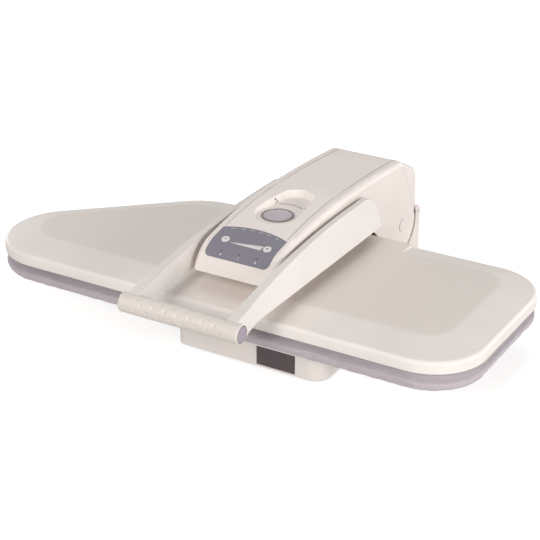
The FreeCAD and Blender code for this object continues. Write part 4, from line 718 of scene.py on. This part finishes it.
@dataclass
class PaddedBoard:
    """Foam board in its drawn cotton cover, with the pressed pan under it.

    Its side is a list of insets in millimetres, each with its share of the height from the top.
    """

    frame: Frame
    spacing: float = 7 * MM
    top_insets: tuple[float, ...] = (92, 70, 50, 38, 31)
    side: tuple[Point, ...] = (
        (28.0, 0.0), (27.0, 0.06), (25.4, 0.13), (22.6, 0.2), (18.6, 0.27), (13.6, 0.34),
        (8.4, 0.4), (4.2, 0.445), (2.5, 0.475), (2.3, 0.52), (2.5, 0.64), (3.2, 0.76),
        (4.7, 0.87), (7.2, 0.95), (10.4, 0.99))
    hem: float = 13.2 * MM
    hem_lift: float = 0.1 * MM
    rim_tuck: float = 3 * MM
    rim_clear: float = 0.4 * MM
    pan_inner: float = 16.2 * MM
    pan_sheet: float = 2 * MM
    pan_corner: float = 30 * MM
    ridge: float = 4.5 * MM
    full_from: float = 0.1
    full_run: float = 0.3
    fullness: float = 0.42
    pucker: float = 0.3 * MM
    pucker_run: float = 0.35
    pucker_rise: float = 90
    pucker_seed: float = 3.1
    swell_cap: float = 1.2 * MM
    pressure: float = 2.5
    slack: float = -0.015
    frames: int = 18
    grid: float = 40 * MM

    def section(self) -> list[tuple[float, float, bool]]:
        """Section of the pad, from the middle of its top over its side to its bottom.

        Returns:
            Inset, height and whether the cloth is free there.
        """
        low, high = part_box("board_cover")
        pan_low, pan_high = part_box("board_pan")
        rim, sheet = pan_high.z + self.rim_clear, pan_low.z + self.pan_sheet
        rows = [(inset * MM, high.z, False) for inset in self.top_insets]
        rows += [(inset * MM, high.z - share * (high.z - low.z), 0 < place < len(self.side) - 1)
                 for place, (inset, share) in enumerate(self.side)]
        rows += [(inset, height, False) for inset, height in (
            (self.hem, low.z + self.hem_lift), (self.hem, pan_high.z - self.rim_tuck),
            (self.hem, rim), (self.pan_inner, rim), (self.pan_inner, sheet),
            (self.pan_corner, sheet), (self.top_insets[0] * MM, sheet))]
        return rows

    def build(self) -> None:
        """Sew, swell and lay the cover, and dress the pan."""
        self.frame.dress({PAN_STEEL: "board_pan"})
        outline = PlanOutline().samples(self.spacing)
        rows = self.section()
        middle = centre_of("board_cover").z
        count = len(outline)
        vertices = []
        for inset, height, loose in rows:
            for place, (point, out) in enumerate(outline):
                reach = inset
                if loose:
                    reach -= self.pucker * noise.noise(Vector((
                        place * self.pucker_run, height * self.pucker_rise, self.pucker_seed)))
                if loose and height > middle:
                    full = min(max((point.x - self.full_from) / self.full_run, 0.0), 1.0)
                    reach -= max(inset - self.ridge, 0.0) * self.fullness * full
                vertices.append((*(point - out * reach), height))
        cover = new_piece("padded_board_cover", vertices, ring_faces(len(rows), count),
                          BOARD_COTTON)
        held = cover.vertex_groups.new(name="held")
        held.add([row * count + place for row, (_, _, loose) in enumerate(rows) if not loose
                  for place in range(count)], 1.0, "REPLACE")
        self.swell(cover)
        smooth = cover.modifiers.new("soft", "SUBSURF")
        smooth.levels = 1
        smooth.render_levels = 1
        bake_modifiers(cover)
        self.close(cover)
        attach(cover, "base")
        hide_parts("board_cover", "board_foam")

    def close(self, cover: Piece) -> None:
        """Close the flat top and bottom of the cover with a grid of faces.

        Args:
            cover: The cover, open in its two flat middles.
        """
        mesh = bmesh.new()
        mesh.from_mesh(cover.data)
        rims = [edge for edge in mesh.edges if edge.is_boundary]
        caps = bmesh.ops.holes_fill(mesh, edges=rims, sides=0)["faces"]
        low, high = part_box("board_cover")
        for axis in PLAN_AXES:
            start, end = low.dot(axis), high.dot(axis)
            for step in range(1, int((end - start) / self.grid)):
                parts = set(caps)
                parts.update(edge for face in caps for edge in face.edges)
                parts.update(vertex for face in caps for vertex in face.verts)
                cut = bmesh.ops.bisect_plane(mesh, geom=list(parts), plane_no=axis,
                                             plane_co=axis * (start + step * self.grid))
                caps = [part for part in cut["geom"] if isinstance(part, bmesh.types.BMFace)]
        bmesh.ops.recalc_face_normals(mesh, faces=mesh.faces)
        mesh.to_mesh(cover.data)
        mesh.free()
        cover.data.shade_smooth()

    def swell(self, cover: Piece) -> None:
        """Let the drawn cloth settle over the foam, within a cap.

        Args:
            cover: The sewn cover.
        """
        before = [vertex.co.copy() for vertex in cover.data.vertices]
        cloth = cover.modifiers.new("drawn_cloth", "CLOTH")
        cloth.settings.quality = 6
        cloth.settings.vertex_group_mass = "held"
        cloth.settings.use_pressure = True
        cloth.settings.uniform_pressure_force = self.pressure
        cloth.settings.shrink_min = self.slack
        cloth.settings.effector_weights.gravity = 0.0
        cloth.point_cache.frame_start = 1
        cloth.point_cache.frame_end = self.frames
        scene = bpy.context.scene
        for number in range(1, self.frames + 1):
            scene.frame_set(number)
        bake_modifiers(cover)
        scene.frame_set(1)
        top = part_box("board_cover")[1].z
        for vertex, start in zip(cover.data.vertices, before):
            move = vertex.co - start
            if move.length > self.swell_cap:
                move *= self.swell_cap / move.length
            vertex.co = start + move
            vertex.co.z = min(vertex.co.z, top)


@dataclass
class Press:
    """Press head below the casing: cover, hot plate and the steam parts."""

    frame: Frame

    def build(self) -> None:
        """Dress the press."""
        self.frame.dress({
            COVER_ABS: "press_cover", PRESS_ALUMINIUM: "heating_plate",
            ELEMENT_STEEL: "heating_element", CAST_ALUMINIUM: "steam_chamber plate_hanger",
            MAT_FIBRE: "insulation_mat", BUSH_ACETAL: "thermostat", BOOT_RUBBER: "hanger_boot",
        })


@dataclass
class Printer:
    """Lays thin ink on the skin below it.

    Args:
        skin: Surface that takes the ink.
        ink: Finish of the marks.
        body: Body that the marks ride on.
        proud: Height of the ink's top above the skin.
        film: Thickness of the ink.
        pitch: Length of its facets.
    """

    skin: BVHTree
    ink: Finish
    body: str = "head"
    proud: float = 0.16 * MM
    film: float = 0.14 * MM
    pitch: float = 1.2 * MM

    def lay(self, name: str, outline: Iterable[Point]) -> Piece:
        """Cut a mark out of fine film and drop it on the skin.

        Args:
            name: Name of the mark.
            outline: Its corners in plan, from the head's middle line.

        Returns:
            The laid piece.
        """
        middle = centre_of("head_shell").x
        mesh = bmesh.new()
        corners = [mesh.verts.new((middle + x * MM, y * MM, 0.0)) for x, y in outline]
        mesh.faces.new(corners)
        reaches = [[corner.co.dot(axis) for corner in corners] for axis in PLAN_AXES]
        for axis, reach in zip(PLAN_AXES, reaches):
            start, end = min(reach), max(reach)
            steps = int((end - start) / self.pitch)
            for step in range(1, steps + 1):
                spot = axis * (start + (end - start) * step / (steps + 1))
                bmesh.ops.bisect_plane(mesh, geom=mesh.verts[:] + mesh.edges[:] + mesh.faces[:],
                                       plane_co=spot, plane_no=axis)
        mesh.verts.index_update()
        vertices = []
        for vertex in mesh.verts:
            hit, normal, _, _ = self.skin.ray_cast(vertex.co - DOWN * ABOVE, DOWN)
            vertices.append(hit + normal * self.proud)
        faces = [[vertex.index for vertex in face.verts] for face in mesh.faces]
        mesh.free()
        piece = new_piece(name, vertices, faces, self.ink)
        thicken(piece, self.film, -1.0)
        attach(piece, self.body)
        return piece


def bar(across: float, away: float, length: float, thick: float, turn: float = 0.0) -> list[Point]:
    """Rectangle in plan.

    Args:
        across: X of its middle.
        away: Y of its middle.
        length: Its length.
        thick: Its thickness.
        turn: Its turn in degrees.

    Returns:
        Its corners.
    """
    lean = math.radians(turn)
    along = Vector((math.cos(lean), math.sin(lean))) * length / 2
    over = Vector((-math.sin(lean), math.cos(lean))) * thick / 2
    return [(across + i * along.x + j * over.x, away + i * along.y + j * over.y)
            for i, j in ((-1, -1), (1, -1), (1, 1), (-1, 1))]


def disc(across: float, away: float, radius: float) -> list[Point]:
    """Circle in plan.

    Args:
        across: X of its middle.
        away: Y of its middle.
        radius: Its radius.

    Returns:
        Its points.
    """
    turns = [math.tau * step / DISC_POINTS for step in range(DISC_POINTS)]
    return [(across + radius * math.cos(turn), away + radius * math.sin(turn)) for turn in turns]


def strip(line: Sequence[Point], thick: float) -> list[Point]:
    """Strip of even thickness along an open line in plan.

    Args:
        line: Points of the line.
        thick: Thickness of the strip.

    Returns:
        Its outline.
    """
    left, right = [], []
    for place, (x, y) in enumerate(line):
        before, after = line[max(place - 1, 0)], line[min(place + 1, len(line) - 1)]
        run = Vector((after[0] - before[0], after[1] - before[1])).normalized()
        left.append((x - run.y * thick / 2, y + run.x * thick / 2))
        right.append((x + run.y * thick / 2, y - run.x * thick / 2))
    return left + right[::-1]


def raised_line(name: str, line: Sequence[Vector], width: float, proud: float,
                finish: Finish) -> Piece:
    """Half-round strip along a line that runs mostly fore and aft.

    Args:
        name: Name of the piece.
        line: Points on the surface below it.
        width: Width of the strip.
        proud: Height of its crown above the surface.
        finish: Its finish.

    Returns:
        The strip.
    """
    section = ((-0.5, -1.0), (-0.5, 0.0), (-0.3, 0.75), (0.0, 1.0), (0.3, 0.75), (0.5, 0.0),
               (0.5, -1.0))
    vertices = []
    for place, point in enumerate(line):
        run = line[min(place + 1, len(line) - 1)] - line[max(place - 1, 0)]
        rise = Vector((0.0, -run.z, run.y)).normalized()
        vertices += [point + Vector((across * width, 0, 0)) + rise * up * proud
                     for across, up in section]
    return new_piece(name, vertices, tube_faces(len(line), len(section)), finish)


def round_ring(name: str, centre: Vector, radius: float, wire: float, finish: Finish) -> Piece:
    """Round ring that faces along X.

    Args:
        name: Name of the ring.
        centre: Middle of the ring.
        radius: Radius of the middle of its wire.
        wire: Radius of the wire.
        finish: Its finish.

    Returns:
        The ring.
    """
    vertices = []
    for place in range(RING_POINTS):
        out = spoke(math.tau * place / RING_POINTS)
        for step in range(WIRE_POINTS):
            turn = math.tau * step / WIRE_POINTS
            vertices.append(centre + out * (radius + wire * math.cos(turn))
                            + Vector((wire * math.sin(turn), 0, 0)))
    return new_piece(name, vertices, ring_faces(RING_POINTS, WIRE_POINTS, True), finish)


@dataclass
class Head:
    """Casing of the head, its lid, its control panel and the steam button."""

    frame: Frame
    seam_shade_width: float = 1.2 * MM
    bead_width: float = 1.4 * MM
    bead_out: float = 2.2 * MM
    seam_proud: float = 0.3 * MM
    seam_steps: int = 60
    seam_span: Point = (0.01, 0.985)
    probe_inset: float = 1.2 * MM
    back_reach: float = 1.0 * MM
    pivot_wire: float = 0.6 * MM
    wedge: tuple[Point, ...] = ((-30.0, -172.6), (34.5, -173.4), (37.0, -161.4), (-30.0, -171.4))
    tick_sides: tuple[float, ...] = (-46.0, -27.0, -9.0, 9.0, 27.0, 46.0)
    tick_size: Point = (8.5, 1.5)
    tick_rise: float = 6.0
    panel_radius: float = 173.0
    panel_top: float = -120.5
    water_sign: Disc = (-34.5, -197.2, 1.8)
    heat_sign: Bar = (2.0, -197.2, 1.6, 4.6)
    steam_sign: Disc = (38.5, -197.2, 1.9)
    minus_place: Point = (-42.0, -167.0)
    plus_place: Point = (46.0, -167.0)
    key_bar: Point = (6.0, 1.1)
    key_stem: Point = (1.1, 2.4)
    stem_away: float = 2.0
    line_start: Point = (-28.0, -1.2)
    line_pitch: float = 5.2
    line_bow: float = 7.0
    line_steps: int = 10
    line_thick: float = 1.6
    puffs: tuple[Disc, ...] = ((-35.6, 0.0, 1.4), (-32.2, 2.8, 1.2), (-32.4, -3.0, 1.3))
    dash: Bar = (28.0, 2.0, 5.0, 1.4, 58.0)

    def build(self) -> None:
        """Dress the head, trim it and print its marks."""
        self.frame.dress({
            HEAD_ABS: "head_shell head_rear_cover pivot_caps", LID_LIT_ABS: "head_top_panel",
            PANEL_FILM: "control_panel", KEY_ABS: "cooler_button hotter_button",
            LENS_PMMA: "indicator_lenses", BEZEL_ABS: "steam_button_bezel",
            BUTTON_ABS: "steam_button", LAMINATE: "control_board", INLET_PA: "steam_switch pump",
            TANK_PE: "water_tank", PIPE_BRASS: "steam_pipe", FRAME_STEEL: "head_frame",
            BUSH_ACETAL: "hinge_bushes handle_bushes",
        })
        self.lay_seam_shade_and_bead()
        self.ring_pivots()
        self.print_panel()
        self.print_keys()
        self.print_scoop()

    def lay_seam_shade_and_bead(self) -> None:
        """Lay a grey silicone strip in the seam along each side of the lid, its dark tone painted
        shade of the seam, and the bead beside it.
        """
        skin = self.frame.skin("head_top_panel", "head_shell")
        middle = centre_of("head_shell").x
        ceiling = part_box("head_shell")[1].z - self.seam_proud
        spots = [vertex.co for vertex in self.frame.nodes["head_top_panel"].data.vertices]
        corner = max(spots, key=lambda spot: spot.x)
        back = max(spot.y for spot in spots)
        wide = corner.x - middle
        narrow = max(spot.x - middle for spot in spots if spot.y > back - self.back_reach)
        # The seam strip's dark tone is painted shade in the lid seam; the bead is real relief
        lines = (("seam_shade", 0.0, self.probe_inset, self.seam_shade_width, SHADE_SILICONE),
                 ("bead", self.bead_out, 0.0, self.bead_width, HEAD_ABS))
        first, span = self.seam_span
        for side, sign in SIDES:
            for name, out, inset, width, finish in lines:
                line = []
                for step in range(self.seam_steps + 1):
                    share = step / self.seam_steps
                    away = corner.y + (back - corner.y) * (first + span * share)
                    half = wide + (narrow - wide) * share + out
                    probe = Vector((middle + sign * (half - inset), away, ABOVE))
                    height = min(skin.ray_cast(probe, DOWN)[0].z, ceiling)
                    line.append(Vector((middle + sign * half, away, height)))
                lid_line = raised_line(f"lid_{name}_{side}", line, width, self.seam_proud, finish)
                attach(lid_line, "head")

    def ring_pivots(self) -> None:
        """Seat a thin grey ring round each pivot cap, its dark tone painted shade of the groove
        round the cap.
        """
        for (side, _), corner in zip(SIDES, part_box("head_shell")):
            centre = centre_of("pivot_caps")
            centre.x = corner.x
            ring = round_ring(f"pivot_shade_ring_{side}", centre, half_of("pivot_caps").z,
                              self.pivot_wire, SHADE_SILICONE)
            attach(ring, "head")

    def print_panel(self) -> None:
        """Print the heat wedge, the ticks along the bowed edge and the signs under the lamps."""
        marks = {"heat_wedge": list(self.wedge)}
        radius = self.panel_radius - self.tick_rise
        for place, side in enumerate(self.tick_sides, start=1):
            fall = radius - math.sqrt(radius ** 2 - side ** 2)
            lean = -math.degrees(math.asin(side / radius))
            away = self.panel_top - self.tick_rise - fall
            marks[f"heat_tick_{place}"] = bar(side, away, *self.tick_size, lean)
        marks["water_sign"] = disc(*self.water_sign)
        marks["heat_sign"] = bar(*self.heat_sign)
        marks["steam_sign"] = disc(*self.steam_sign)
        printer = Printer(self.frame.skin("control_panel"), INK_PALE)
        for name, outline in marks.items():
            printer.lay(name, outline)

    def print_keys(self) -> None:
        """Print a minus and a plus on the two keys."""
        minus = Printer(self.frame.skin("cooler_button"), INK_DARK, "cooler_key")
        minus.lay("cooler_key_bar", bar(*self.minus_place, *self.key_bar))
        plus = Printer(self.frame.skin("hotter_button"), INK_DARK, "hotter_key")
        plus.lay("hotter_key_bar", bar(*self.plus_place, *self.key_bar))
        across, away = self.plus_place
        for end, sign in (("low", -1), ("high", 1)):
            plus.lay(f"hotter_key_stem_{end}",
                     bar(across, away + sign * self.stem_away, *self.key_stem))

    def print_scoop(self) -> None:
        """Print the curved line behind the steam button, with a sign at each end."""
        printer = Printer(self.frame.skin("head_top_panel"), INK_DARK)
        across, away = self.line_start
        line = [(across + step * self.line_pitch,
                 away + self.line_bow * math.sin(math.pi * step / self.line_steps))
                for step in range(self.line_steps + 1)]
        printer.lay("steam_line", strip(line, self.line_thick))
        for place, puff in enumerate(self.puffs, start=1):
            printer.lay(f"steam_puff_{place}", disc(*puff))
        printer.lay("steam_dash", bar(*self.dash))


@dataclass
class Handle:
    """Lever arms, cross shaft and the dimpled grip."""

    frame: Frame
    edge: float = 2.2 * MM
    edge_angles: tuple[float, ...] = (90, 67, 45, 22)
    sink: float = 4.0 * MM
    lip: float = 15.5 * MM
    hub: float = 3.1 * MM
    step: float = 1.6 * MM
    around: int = 96
    dimple_radius: float = 4.0 * MM
    dimple_depth: float = 1.9 * MM
    dimple_pitch: float = 25.0 * MM
    dimple_rows: int = 10
    plain_end: float = 26.0 * MM
    shade_ring_sink: float = 0.7 * MM
    shade_ring_wire: float = 0.6 * MM

    def build(self) -> None:
        """Dress the arms and turn the grip."""
        self.frame.dress({ARM_ABS: "handle_arm_left handle_arm_right",
                          CAP_ABS: "grip_end_caps", SHAFT_STEEL: "handle_shaft"})
        self.turn_grip()

    def dip(self, along: float, angle: float, radius: float, half: float) -> float:
        """Depth of the dimples at one place of the grip.

        Args:
            along: Distance from the grip's middle.
            angle: Angle round the grip.
            radius: Radius of the grip.
            half: Half of the grip's length.

        Returns:
            How far the surface lies below the round grip.
        """
        if abs(along) > half - self.plain_end:
            return 0.0
        row = round(angle / math.tau * self.dimple_rows)
        shift = self.dimple_pitch / 2 if row % 2 else 0.0
        column = round((along - shift) / self.dimple_pitch)
        over = along - shift - column * self.dimple_pitch
        round_it = (angle - row * math.tau / self.dimple_rows) * radius
        away = math.hypot(over, round_it) / self.dimple_radius
        return self.dimple_depth * (1 - away ** 2) ** 2 if away < 1 else 0.0

    def turn_grip(self) -> None:
        """Turn the grip with its rounded ends, sunk end faces and dimples, and lay a dark rubber
        ring at each end as painted shade of the gap round the end cap.
        """
        centre = centre_of("handle_grip")
        half, _, radius = half_of("handle_grip")
        profile = [(half - self.sink, self.hub), (half - self.sink, self.lip), (half, self.lip)]
        body_half = half - self.edge
        for turn in map(math.radians, self.edge_angles):
            profile.append((body_half + self.edge * math.sin(turn),
                            radius - self.edge + self.edge * math.cos(turn)))
        steps = round(2 * body_half / self.step)
        body = [(body_half - 2 * body_half * step / steps, radius) for step in range(steps + 1)]
        rings = profile + body + [(-along, out) for along, out in reversed(profile)]
        vertices = []
        for along, out in rings:
            for place in range(self.around):
                angle = math.tau * place / self.around
                reach = out - (self.dip(along, angle, radius, half) if out == radius else 0.0)
                vertices.append(centre + Vector((along, 0, 0)) + spoke(angle) * reach)
        grip = new_piece("dimpled_grip", vertices, tube_faces(len(rings), self.around), GRIP_ABS)
        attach(grip, "handle")
        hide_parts("handle_grip")
        # A dark rubber ring at each end: painted shade in the gap round the end cap
        for side, sign in SIDES:
            middle = centre + Vector((sign * (half - self.shade_ring_sink), 0, 0))
            seam_shade = round_ring(f"grip_shade_ring_{side}", middle, self.lip - self.shade_ring_wire,
                              self.shade_ring_wire, RUBBER)
            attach(seam_shade, "handle")


@dataclass
class Base:
    """Base box with its plate, sheet, feet, tower and hinge."""

    frame: Frame
    window: tuple[float, float, float, float] = (66 * MM, 149 * MM, 8 * MM, 47 * MM)
    window_depth: float = 2.0 * MM
    plate_gap: float = 0.4 * MM
    plate_sink: float = 0.7 * MM
    plate_rim: float = 1.6 * MM
    plate_bevel: float = 0.3 * MM
    plate_rise: float = 0.2 * MM
    turns: float = 5.5
    coil_steps: int = 168
    wire: float = 2.3 * MM
    wire_sides: int = 10
    spring_gap: float = 0.9  # from the middle to each spring, in radii of the shaft
    lip_inner: float = 59.2 * MM
    lip_outer: float = 62.2 * MM
    lip_sink: float = 1.9 * MM
    lip_thick: float = 0.9 * MM
    lip_steps: int = 48
    ear_angle: float = math.radians(23)
    ear_radius: float = 62.0 * MM
    ear_sink: float = 2.0 * MM
    ear_inset: float = 6.5 * MM
    ear_thick: float = 2.9 * MM
    ear_steps: int = 14
    gaiter_wall: float = 3.4 * MM
    gaiter_foot: float = 3.0 * MM
    gaiter_head: float = 2.0 * MM
    gaiter_rows: int = 24
    gaiter_columns: int = 30
    gaiter_fold: float = 1.0 * MM
    gaiter_folds: float = 2.0
    gaiter_thick: float = 0.8 * MM
    gaiter_rise: float = 4.0

    def build(self) -> None:
        """Dress the base, fit its plate, wind the springs and trim the hinge."""
        self.frame.dress({
            BASE_LIT_ABS: "base_housing", HEAD_ABS: "hinge_tower", RUBBER: "feet",
            SHEET_STEEL: "base_plate base_screws shaft_clips", FRAME_STEEL: "hinge_bracket",
            SHAFT_STEEL: "hinge_shaft", INLET_PA: "mains_inlet",
        })
        self.fit_plate()
        self.wind_springs()
        self.line_tower()
        self.raise_ears()
        self.hang_gaiter()

    def fit_plate(self) -> None:
        """Fit the bare dark plate into the window of the base, with a thin raised rim."""
        left, right, low, high = self.window
        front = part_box("base_housing")[0].y
        face, gap, rim = front + self.plate_sink, self.plate_gap, self.plate_gap + self.plate_rim
        rings = ((gap, front + self.window_depth), (gap, face),
                 (gap + self.plate_bevel, face - self.plate_rise), (rim, face - self.plate_rise),
                 (rim + self.plate_bevel, face + self.plate_rise))
        vertices = []
        for inset, away in rings:
            vertices += [(left + inset, away, low + inset), (right - inset, away, low + inset),
                         (right - inset, away, high - inset), (left + inset, away, high - inset)]
        plate = new_piece("bare_base_plate", vertices, tube_faces(len(rings), 4), PLATE_FILM)
        plate.data.shade_flat()
        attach(plate, "base")

    def wind_springs(self) -> None:
        """Wind the two torsion springs on the hinge shaft."""
        axis, half = centre_of("lift_springs"), half_of("lift_springs")
        radius = half.z - self.wire
        start = half_of("hinge_shaft").z * self.spring_gap + self.wire
        end = half.x - self.wire
        for side, sign in SIDES:
            vertices = []
            for step in range(self.coil_steps + 1):
                share = step / self.coil_steps
                out = spoke(math.tau * self.turns * share)
                along = Vector((sign, 0, 0))
                centre = axis + along * (start + (end - start) * share) + out * radius
                for place in range(self.wire_sides):
                    angle = math.tau * place / self.wire_sides
                    vertices.append(
                        centre + (out * math.cos(angle) + along * math.sin(angle)) * self.wire)
            spring = new_piece(f"lift_spring_{side}", vertices,
                               tube_faces(self.coil_steps + 1, self.wire_sides), SPRING_STEEL)
            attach(spring, "base")
            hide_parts("lift_springs")

    def line_tower(self) -> None:
        """Line the round cut of each side of the tower, so that no gap shows by the knuckle."""
        axis, middle = centre_of("hinge_shaft"), centre_of("hinge_tower").x
        outer = half_of("hinge_tower").x - self.lip_sink
        inner = outer - self.lip_thick
        section = ((self.lip_inner, outer), (self.lip_outer, outer), (self.lip_outer, inner),
                   (self.lip_inner, inner))
        front = axis.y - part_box("hinge_tower")[0].y
        sweep = -math.pi / 2 - math.asin(front / self.lip_outer) - self.ear_angle
        for side, sign in SIDES:
            vertices = []
            for step in range(self.lip_steps + 1):
                out = spoke(self.ear_angle + sweep * step / self.lip_steps)
                vertices += [(middle + sign * across, axis.y + reach * out.y,
                              axis.z + reach * out.z) for reach, across in section]
            lip = new_piece(f"tower_lip_{side}", vertices,
                            tube_faces(self.lip_steps + 1, len(section)), HEAD_ABS)
            lip.data.shade_flat()
            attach(lip, "base")

    def raise_ears(self) -> None:
        """Carry each side of the tower up behind the knuckle in a rounded ear."""
        axis, middle = centre_of("hinge_shaft"), centre_of("hinge_tower").x
        outer, high = half_of("hinge_tower").x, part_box("hinge_tower")[1]
        foot = high.z - self.ear_sink
        base = math.asin((foot - axis.z) / self.ear_radius)
        outline = []
        for step in range(self.ear_steps + 1):
            spot = axis + self.ear_radius * spoke(
                base + (self.ear_angle - base) * step / self.ear_steps)
            outline.append((spot.y, spot.z))
        tip_y, tip_z = outline[-1]
        for step in range(1, self.ear_steps + 1):
            turn = math.pi / 2 * step / self.ear_steps
            outline.append((tip_y + (high.y - self.ear_inset - tip_y) * math.sin(turn),
                            foot + (tip_z - foot) * math.cos(turn)))
        for side, sign in SIDES:
            vertices = [(middle + sign * across, away, up)
                        for across in (outer - self.ear_thick, outer) for away, up in outline]
            ear = new_piece(f"tower_ear_{side}", vertices, tube_faces(2, len(outline)), HEAD_ABS)
            ear.data.shade_flat()
            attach(ear, "base")

    def hang_gaiter(self) -> None:
        """Hang the soft gaiter that closes the slot between the tower and the rear cover."""
        tower_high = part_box("hinge_tower")[1]
        cover_low, cover_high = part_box("head_rear_cover")
        middle = centre_of("hinge_tower").x
        foot = Vector((middle, tower_high.y - self.gaiter_wall, tower_high.z - self.gaiter_foot))
        head = Vector((middle, cover_high.y - self.gaiter_wall, cover_low.z + self.gaiter_head))
        foot_half = half_of("hinge_tower").x - self.gaiter_wall
        head_half = half_of("head_rear_cover").x - self.gaiter_wall
        wide = self.gaiter_columns + 1
        vertices = []
        for row in range(self.gaiter_rows + 1):
            share = row / self.gaiter_rows
            half = head_half + (foot_half - head_half) * min(1.0, (1 - share) * self.gaiter_rise)
            fold = self.gaiter_fold * math.sin(math.tau * self.gaiter_folds * share)
            for column in range(wide):
                across = half * (2 * column / self.gaiter_columns - 1)
                vertices.append(foot.lerp(head, share) + Vector((across, fold, 0)))
        faces = [(corner, corner + 1, corner + wide + 1, corner + wide)
                 for row in range(self.gaiter_rows)
                 for corner in range(row * wide, row * wide + self.gaiter_columns)]
        gaiter = new_piece("hinge_gaiter", vertices, faces, BOOT_RUBBER)
        thicken(gaiter, self.gaiter_thick, 0.0)
        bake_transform(gaiter)


def main() -> None:
    """Build every sub-assembly in order and report each piece."""
    logging.basicConfig(level=logging.INFO, format="%(name)s: %(message)s")
    bpy.ops.wm.read_factory_settings(use_empty=True)
    frame = Frame(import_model()["nodes"])
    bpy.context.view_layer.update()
    Stage().build()
    for part in (Base(frame), PaddedBoard(frame), Press(frame), Head(frame), Handle(frame)):
        part.build()
        LOG.info("built %s", type(part).__name__)
    for piece in bpy.context.scene.objects:
        if piece.type == "MESH":
            LOG.info("%s: %d faces", piece.name, len(piece.data.polygons))


if __name__ == "__main__":
    main()
